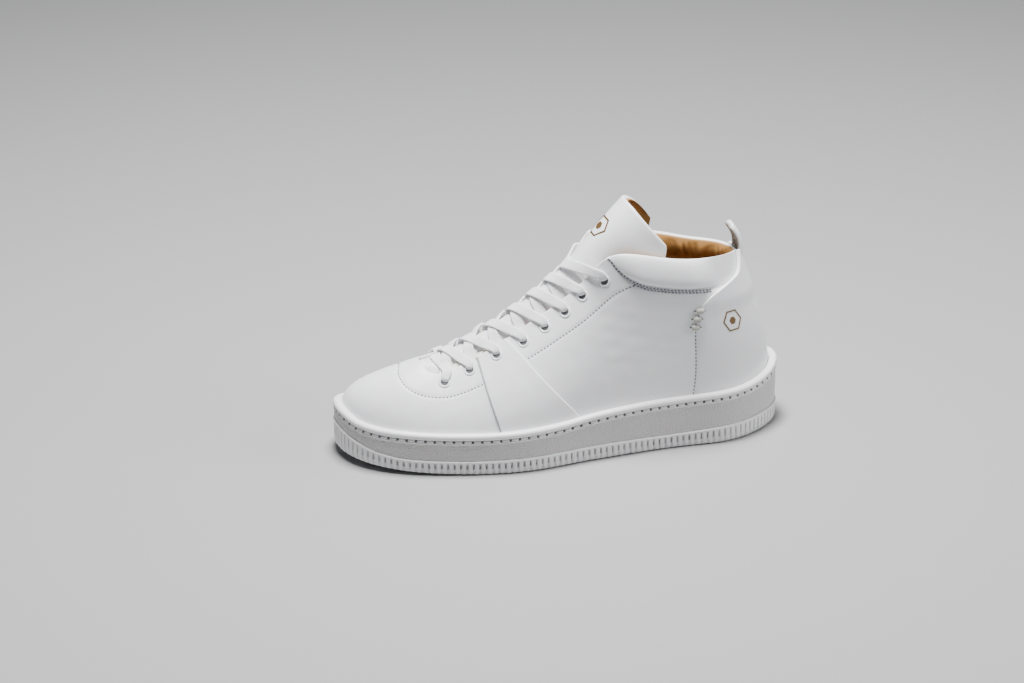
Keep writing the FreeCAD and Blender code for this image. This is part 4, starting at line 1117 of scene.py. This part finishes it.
def make_lace():
    """The flat lace: a straight bar in front and fourteen crossing strands."""
    rng = np.random.default_rng(8)
    strands = {-1: [], 1: []}
    for n in range(1, len(EYELETS)):
        for side, lift in ((-1, 1.7), (1, 0.0)):
            strands[side].append(woven_band(*strand_points(side, n, lift, rng)))
    for side, word in SIDES:
        piece = join_tubes(f"lace_{word}_strands", strands[side], COTTON)
        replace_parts(piece, f"lace_{word}_run")
    u = EYELETS[0][0]
    halves = []
    for side in (-1, 1):
        where = on_side(u, side)
        rim = float(throat(np.array(where)))
        edge = (skin(where, rim - 0.01, -1.3), normal(where, rim - 0.01), (6.6, 1.7))
        halves.append(from_eyelet(side, 0) + [edge])
    middle = [(*over_tongue(u, w, 1.1 + 0.9 * abs(w)), (7.0, 1.6)) for w in (-0.55, 0.0, 0.55)]
    spots = halves[0] + middle + halves[1][::-1]
    bar = woven_band(*(np.array([spot[k] for spot in spots]) for k in range(3)))
    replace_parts(join_tubes("lace_front_bar", [bar], COTTON), "lace_bar")


make_eyelets()
make_lace()

# ---------------------------------------------------------------- heel trim and marks

HEEL_MARK = (10.233, 0.554)  # station and height share
TONGUE_MARK_X = 26.2
TONGUE_STEP = 18.0  # millimetres across the tongue for each step of w


def make_hand_stitches():
    """Three thick waxed-cord stitches across each heel seam, with dark bars at their needle holes as painted
    shade.
    """
    places, frames, holes = [], [], []
    for side, _ in SIDES:
        for t in (0.655, 0.60, 0.545):
            where = float(on_side(along(HEEL_SEAM, t), side))
            out = normal(where, t)
            line = unit(surface(where + 0.05, t) - surface(where - 0.05, t))
            places.append(skin(where, t, -1.35))
            frames.append(frames_along(line[None], out[None])[0])
            holes += [places[-1] + line * end * 3.3 - out * 0.95 for end in (-1, 1)]
    cord, hole = capsule(6.0, 2.1, 0.75, 12, 14), capsule(1.6, 0.5, 0.7)
    piece = copies("heel_cord_stitches", *cord, np.array(places), np.array(frames), CORD, "thread")
    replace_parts(piece, "heel_hand_stitches")
    # Dark bars at the needle holes: painted shade.
    copies("heel_cord_hole_shade", *hole, np.array(holes), np.repeat(frames, 2, axis=0), HOLE_SHADE, "thread")


def hexagon_ring(place, radius, width, steps=72):
    """Closed loops of a thin six-sided ring laid on a surface by place(x, y, height)."""
    loops = []
    for k in range(steps):
        turn = TAU * k / steps
        reach = math.cos(math.pi / 6) / math.cos((turn % (math.pi / 3)) - math.pi / 6)
        corners = ((radius, 0.0), (radius, 0.12), (radius - width, 0.12), (radius - width, 0.0))
        loops.append([place(r * reach * math.cos(turn), r * reach * math.sin(turn), z) for r, z in corners])
    return np.array(loops)


def make_marks():
    """The plain six-sided foil marks on the heel and on the tongue."""
    u, t = HEEL_MARK
    across = np.linalg.norm(surface(u + 0.05, t) - surface(u - 0.05, t)) / 0.1
    up = np.linalg.norm(surface(u, t + 0.01) - surface(u, t - 0.01)) / 0.02

    def on_heel(x, y, height):
        where, share = np.array([u + x / across]), np.array([t + y / up])
        return skin(where, share, -(lift_of(where, share) + 0.05 + height))[0]

    def on_tongue(x, y, height):
        return tongue(TONGUE_MARK_X + y * math.sqrt(0.5), x / TONGUE_STEP, -0.35 - height)

    for name, place, body in (("heel_badge", on_heel, "shoe"), ("tongue_badge", on_tongue, "tongue")):
        for part, radius, width in (("ring", 8.1, 1.15), ("core", 2.8, 2.75)):
            loops = hexagon_ring(place, radius, width)
            piece = make_tube(f"{name}_{part}", loops, GOLD, body, closed=True, sharp=30)
            if part == "ring":
                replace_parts(piece, name)


def make_pull_tab():
    """The leather loop's flat tab: smooth outside, rough suede inside, round end."""
    spine = np.array([
        (122.6, 117.0), (122.4, 121.0), (122.1, 124.5), (121.2, 128.5), (119.4, 132.5), (117.2, 135.8),
        (115.6, 137.9), (114.9, 138.6),
    ])
    dense = np.linspace(0, len(spine) - 1, 60)
    line = np.stack([np.interp(dense, np.arange(len(spine)), spine[:, k]) for k in range(2)])
    rounded = [np.convolve(row, np.ones(9) / 9, "valid") for row in line]
    x, z = np.concatenate([line[:, :4], rounded, line[:, -4:]], 1)
    middle = np.stack([x, 0 * x, z], -1)
    heading = unit(np.gradient(middle, axis=0))
    back = np.stack([heading[:, 2], 0 * x, -heading[:, 0]], -1)[:, None]
    run = np.linspace(0, 1, len(x))
    round_end = np.sqrt(np.clip(1 - np.clip((run - 0.72) / 0.285, 0, 1) ** 2, 0.02, 1))
    half = ((8.0 - 1.2 * smooth(0, 0.5, run)) * round_end)[:, None]
    w = np.linspace(-1, 1, 25)
    thick = 1.9 * np.minimum(1, 0.5 + half / 9) * np.sqrt(np.clip(1 - np.abs(w) ** 6, 0.05, 1))
    dish = 0.03 * (w * half) ** 2
    spread = middle[:, None] + np.array([0, 1.0, 0]) * (half * w)[..., None]
    outer = spread + back * (thick - dish)[..., None]
    inner = spread - back * (thick + dish)[..., None]
    core = outer * 0.25 + inner * 0.75
    x, _, z = (value * MM for value in TAB_PIVOT)
    smooth_side = make_sheet("pull_tab_leather", outer, core, WHITE, body=None, sharp=60)
    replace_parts(smooth_side, "pull_tab")
    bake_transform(smooth_side)
    rough, face = core - back * 0.03, inner - back * 0.02
    suede = make_sheet("pull_tab_suede", rough, face, SUEDE, body=None, sharp=60)
    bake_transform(suede)


make_hand_stitches()
make_marks()
make_pull_tab()

# ---------------------------------------------------------------- stage, light and camera


def make_stage():
    floor = bpy.data.meshes.new("floor")
    half = 6.0
    corners = [(-half, -half, 0), (half, -half, 0), (half, half, 0), (-half, half, 0)]
    floor.from_pydata(corners, [], [(0, 1, 2, 3)])
    piece = bpy.data.objects.new("floor", floor)
    piece.location.z = -0.0002
    bpy.context.scene.collection.objects.link(piece)
    floor.materials.append(make_material("pale_floor", (0.33, 0.33, 0.335), 0.7))


def make_light(name, place, target, size, power):
    data = bpy.data.lights.new(name, "AREA")
    data.shape = "RECTANGLE"
    data.size, data.size_y = size
    data.energy = power
    lamp = bpy.data.objects.new(name, data)
    lamp.location = place
    lamp.rotation_euler = (Vector(target) - Vector(place)).to_track_quat("-Z", "Y").to_euler()
    bpy.context.scene.collection.objects.link(lamp)


def make_world():
    world = bpy.data.worlds.new("studio")
    world.use_nodes = True
    sky = world.node_tree.nodes["Background"]
    sky.inputs["Color"].default_value = (0.8, 0.85, 1.0, 1)
    sky.inputs["Strength"].default_value = 0.04
    bpy.context.scene.world = world


def make_camera():
    """A long lens on the outer side, a little in front of the shoe's middle and above it."""
    data = bpy.data.cameras.new("camera")
    data.lens = 105.96
    data.sensor_width = 36
    data.clip_start = 0.05
    camera = bpy.data.objects.new("camera", data)
    azimuth, elevation, distance = math.radians(-14.38), math.radians(23.23), 1.9747
    target = Vector((-0.0323, 0, 0.0692))
    flat = math.cos(elevation)
    away = Vector((math.sin(azimuth) * flat, -math.cos(azimuth) * flat, math.sin(elevation)))
    camera.location = target + away * distance
    camera.rotation_euler = (-away).to_track_quat("-Z", "Y").to_euler()
    bpy.context.scene.collection.objects.link(camera)
    bpy.context.scene.camera = camera


make_stage()
make_light("key", (-0.05, 0.05, 1.35), (0, 0, 0.06), (0.5, 0.35), 60)
make_light("rim", (1.35, -0.45, 0.75), (0.06, 0, 0.08), (0.5, 0.6), 13)
make_light("fill", (-0.9, -1.5, 0.9), (0, 0, 0.06), (0.9, 0.9), 2)
make_world()
make_camera()
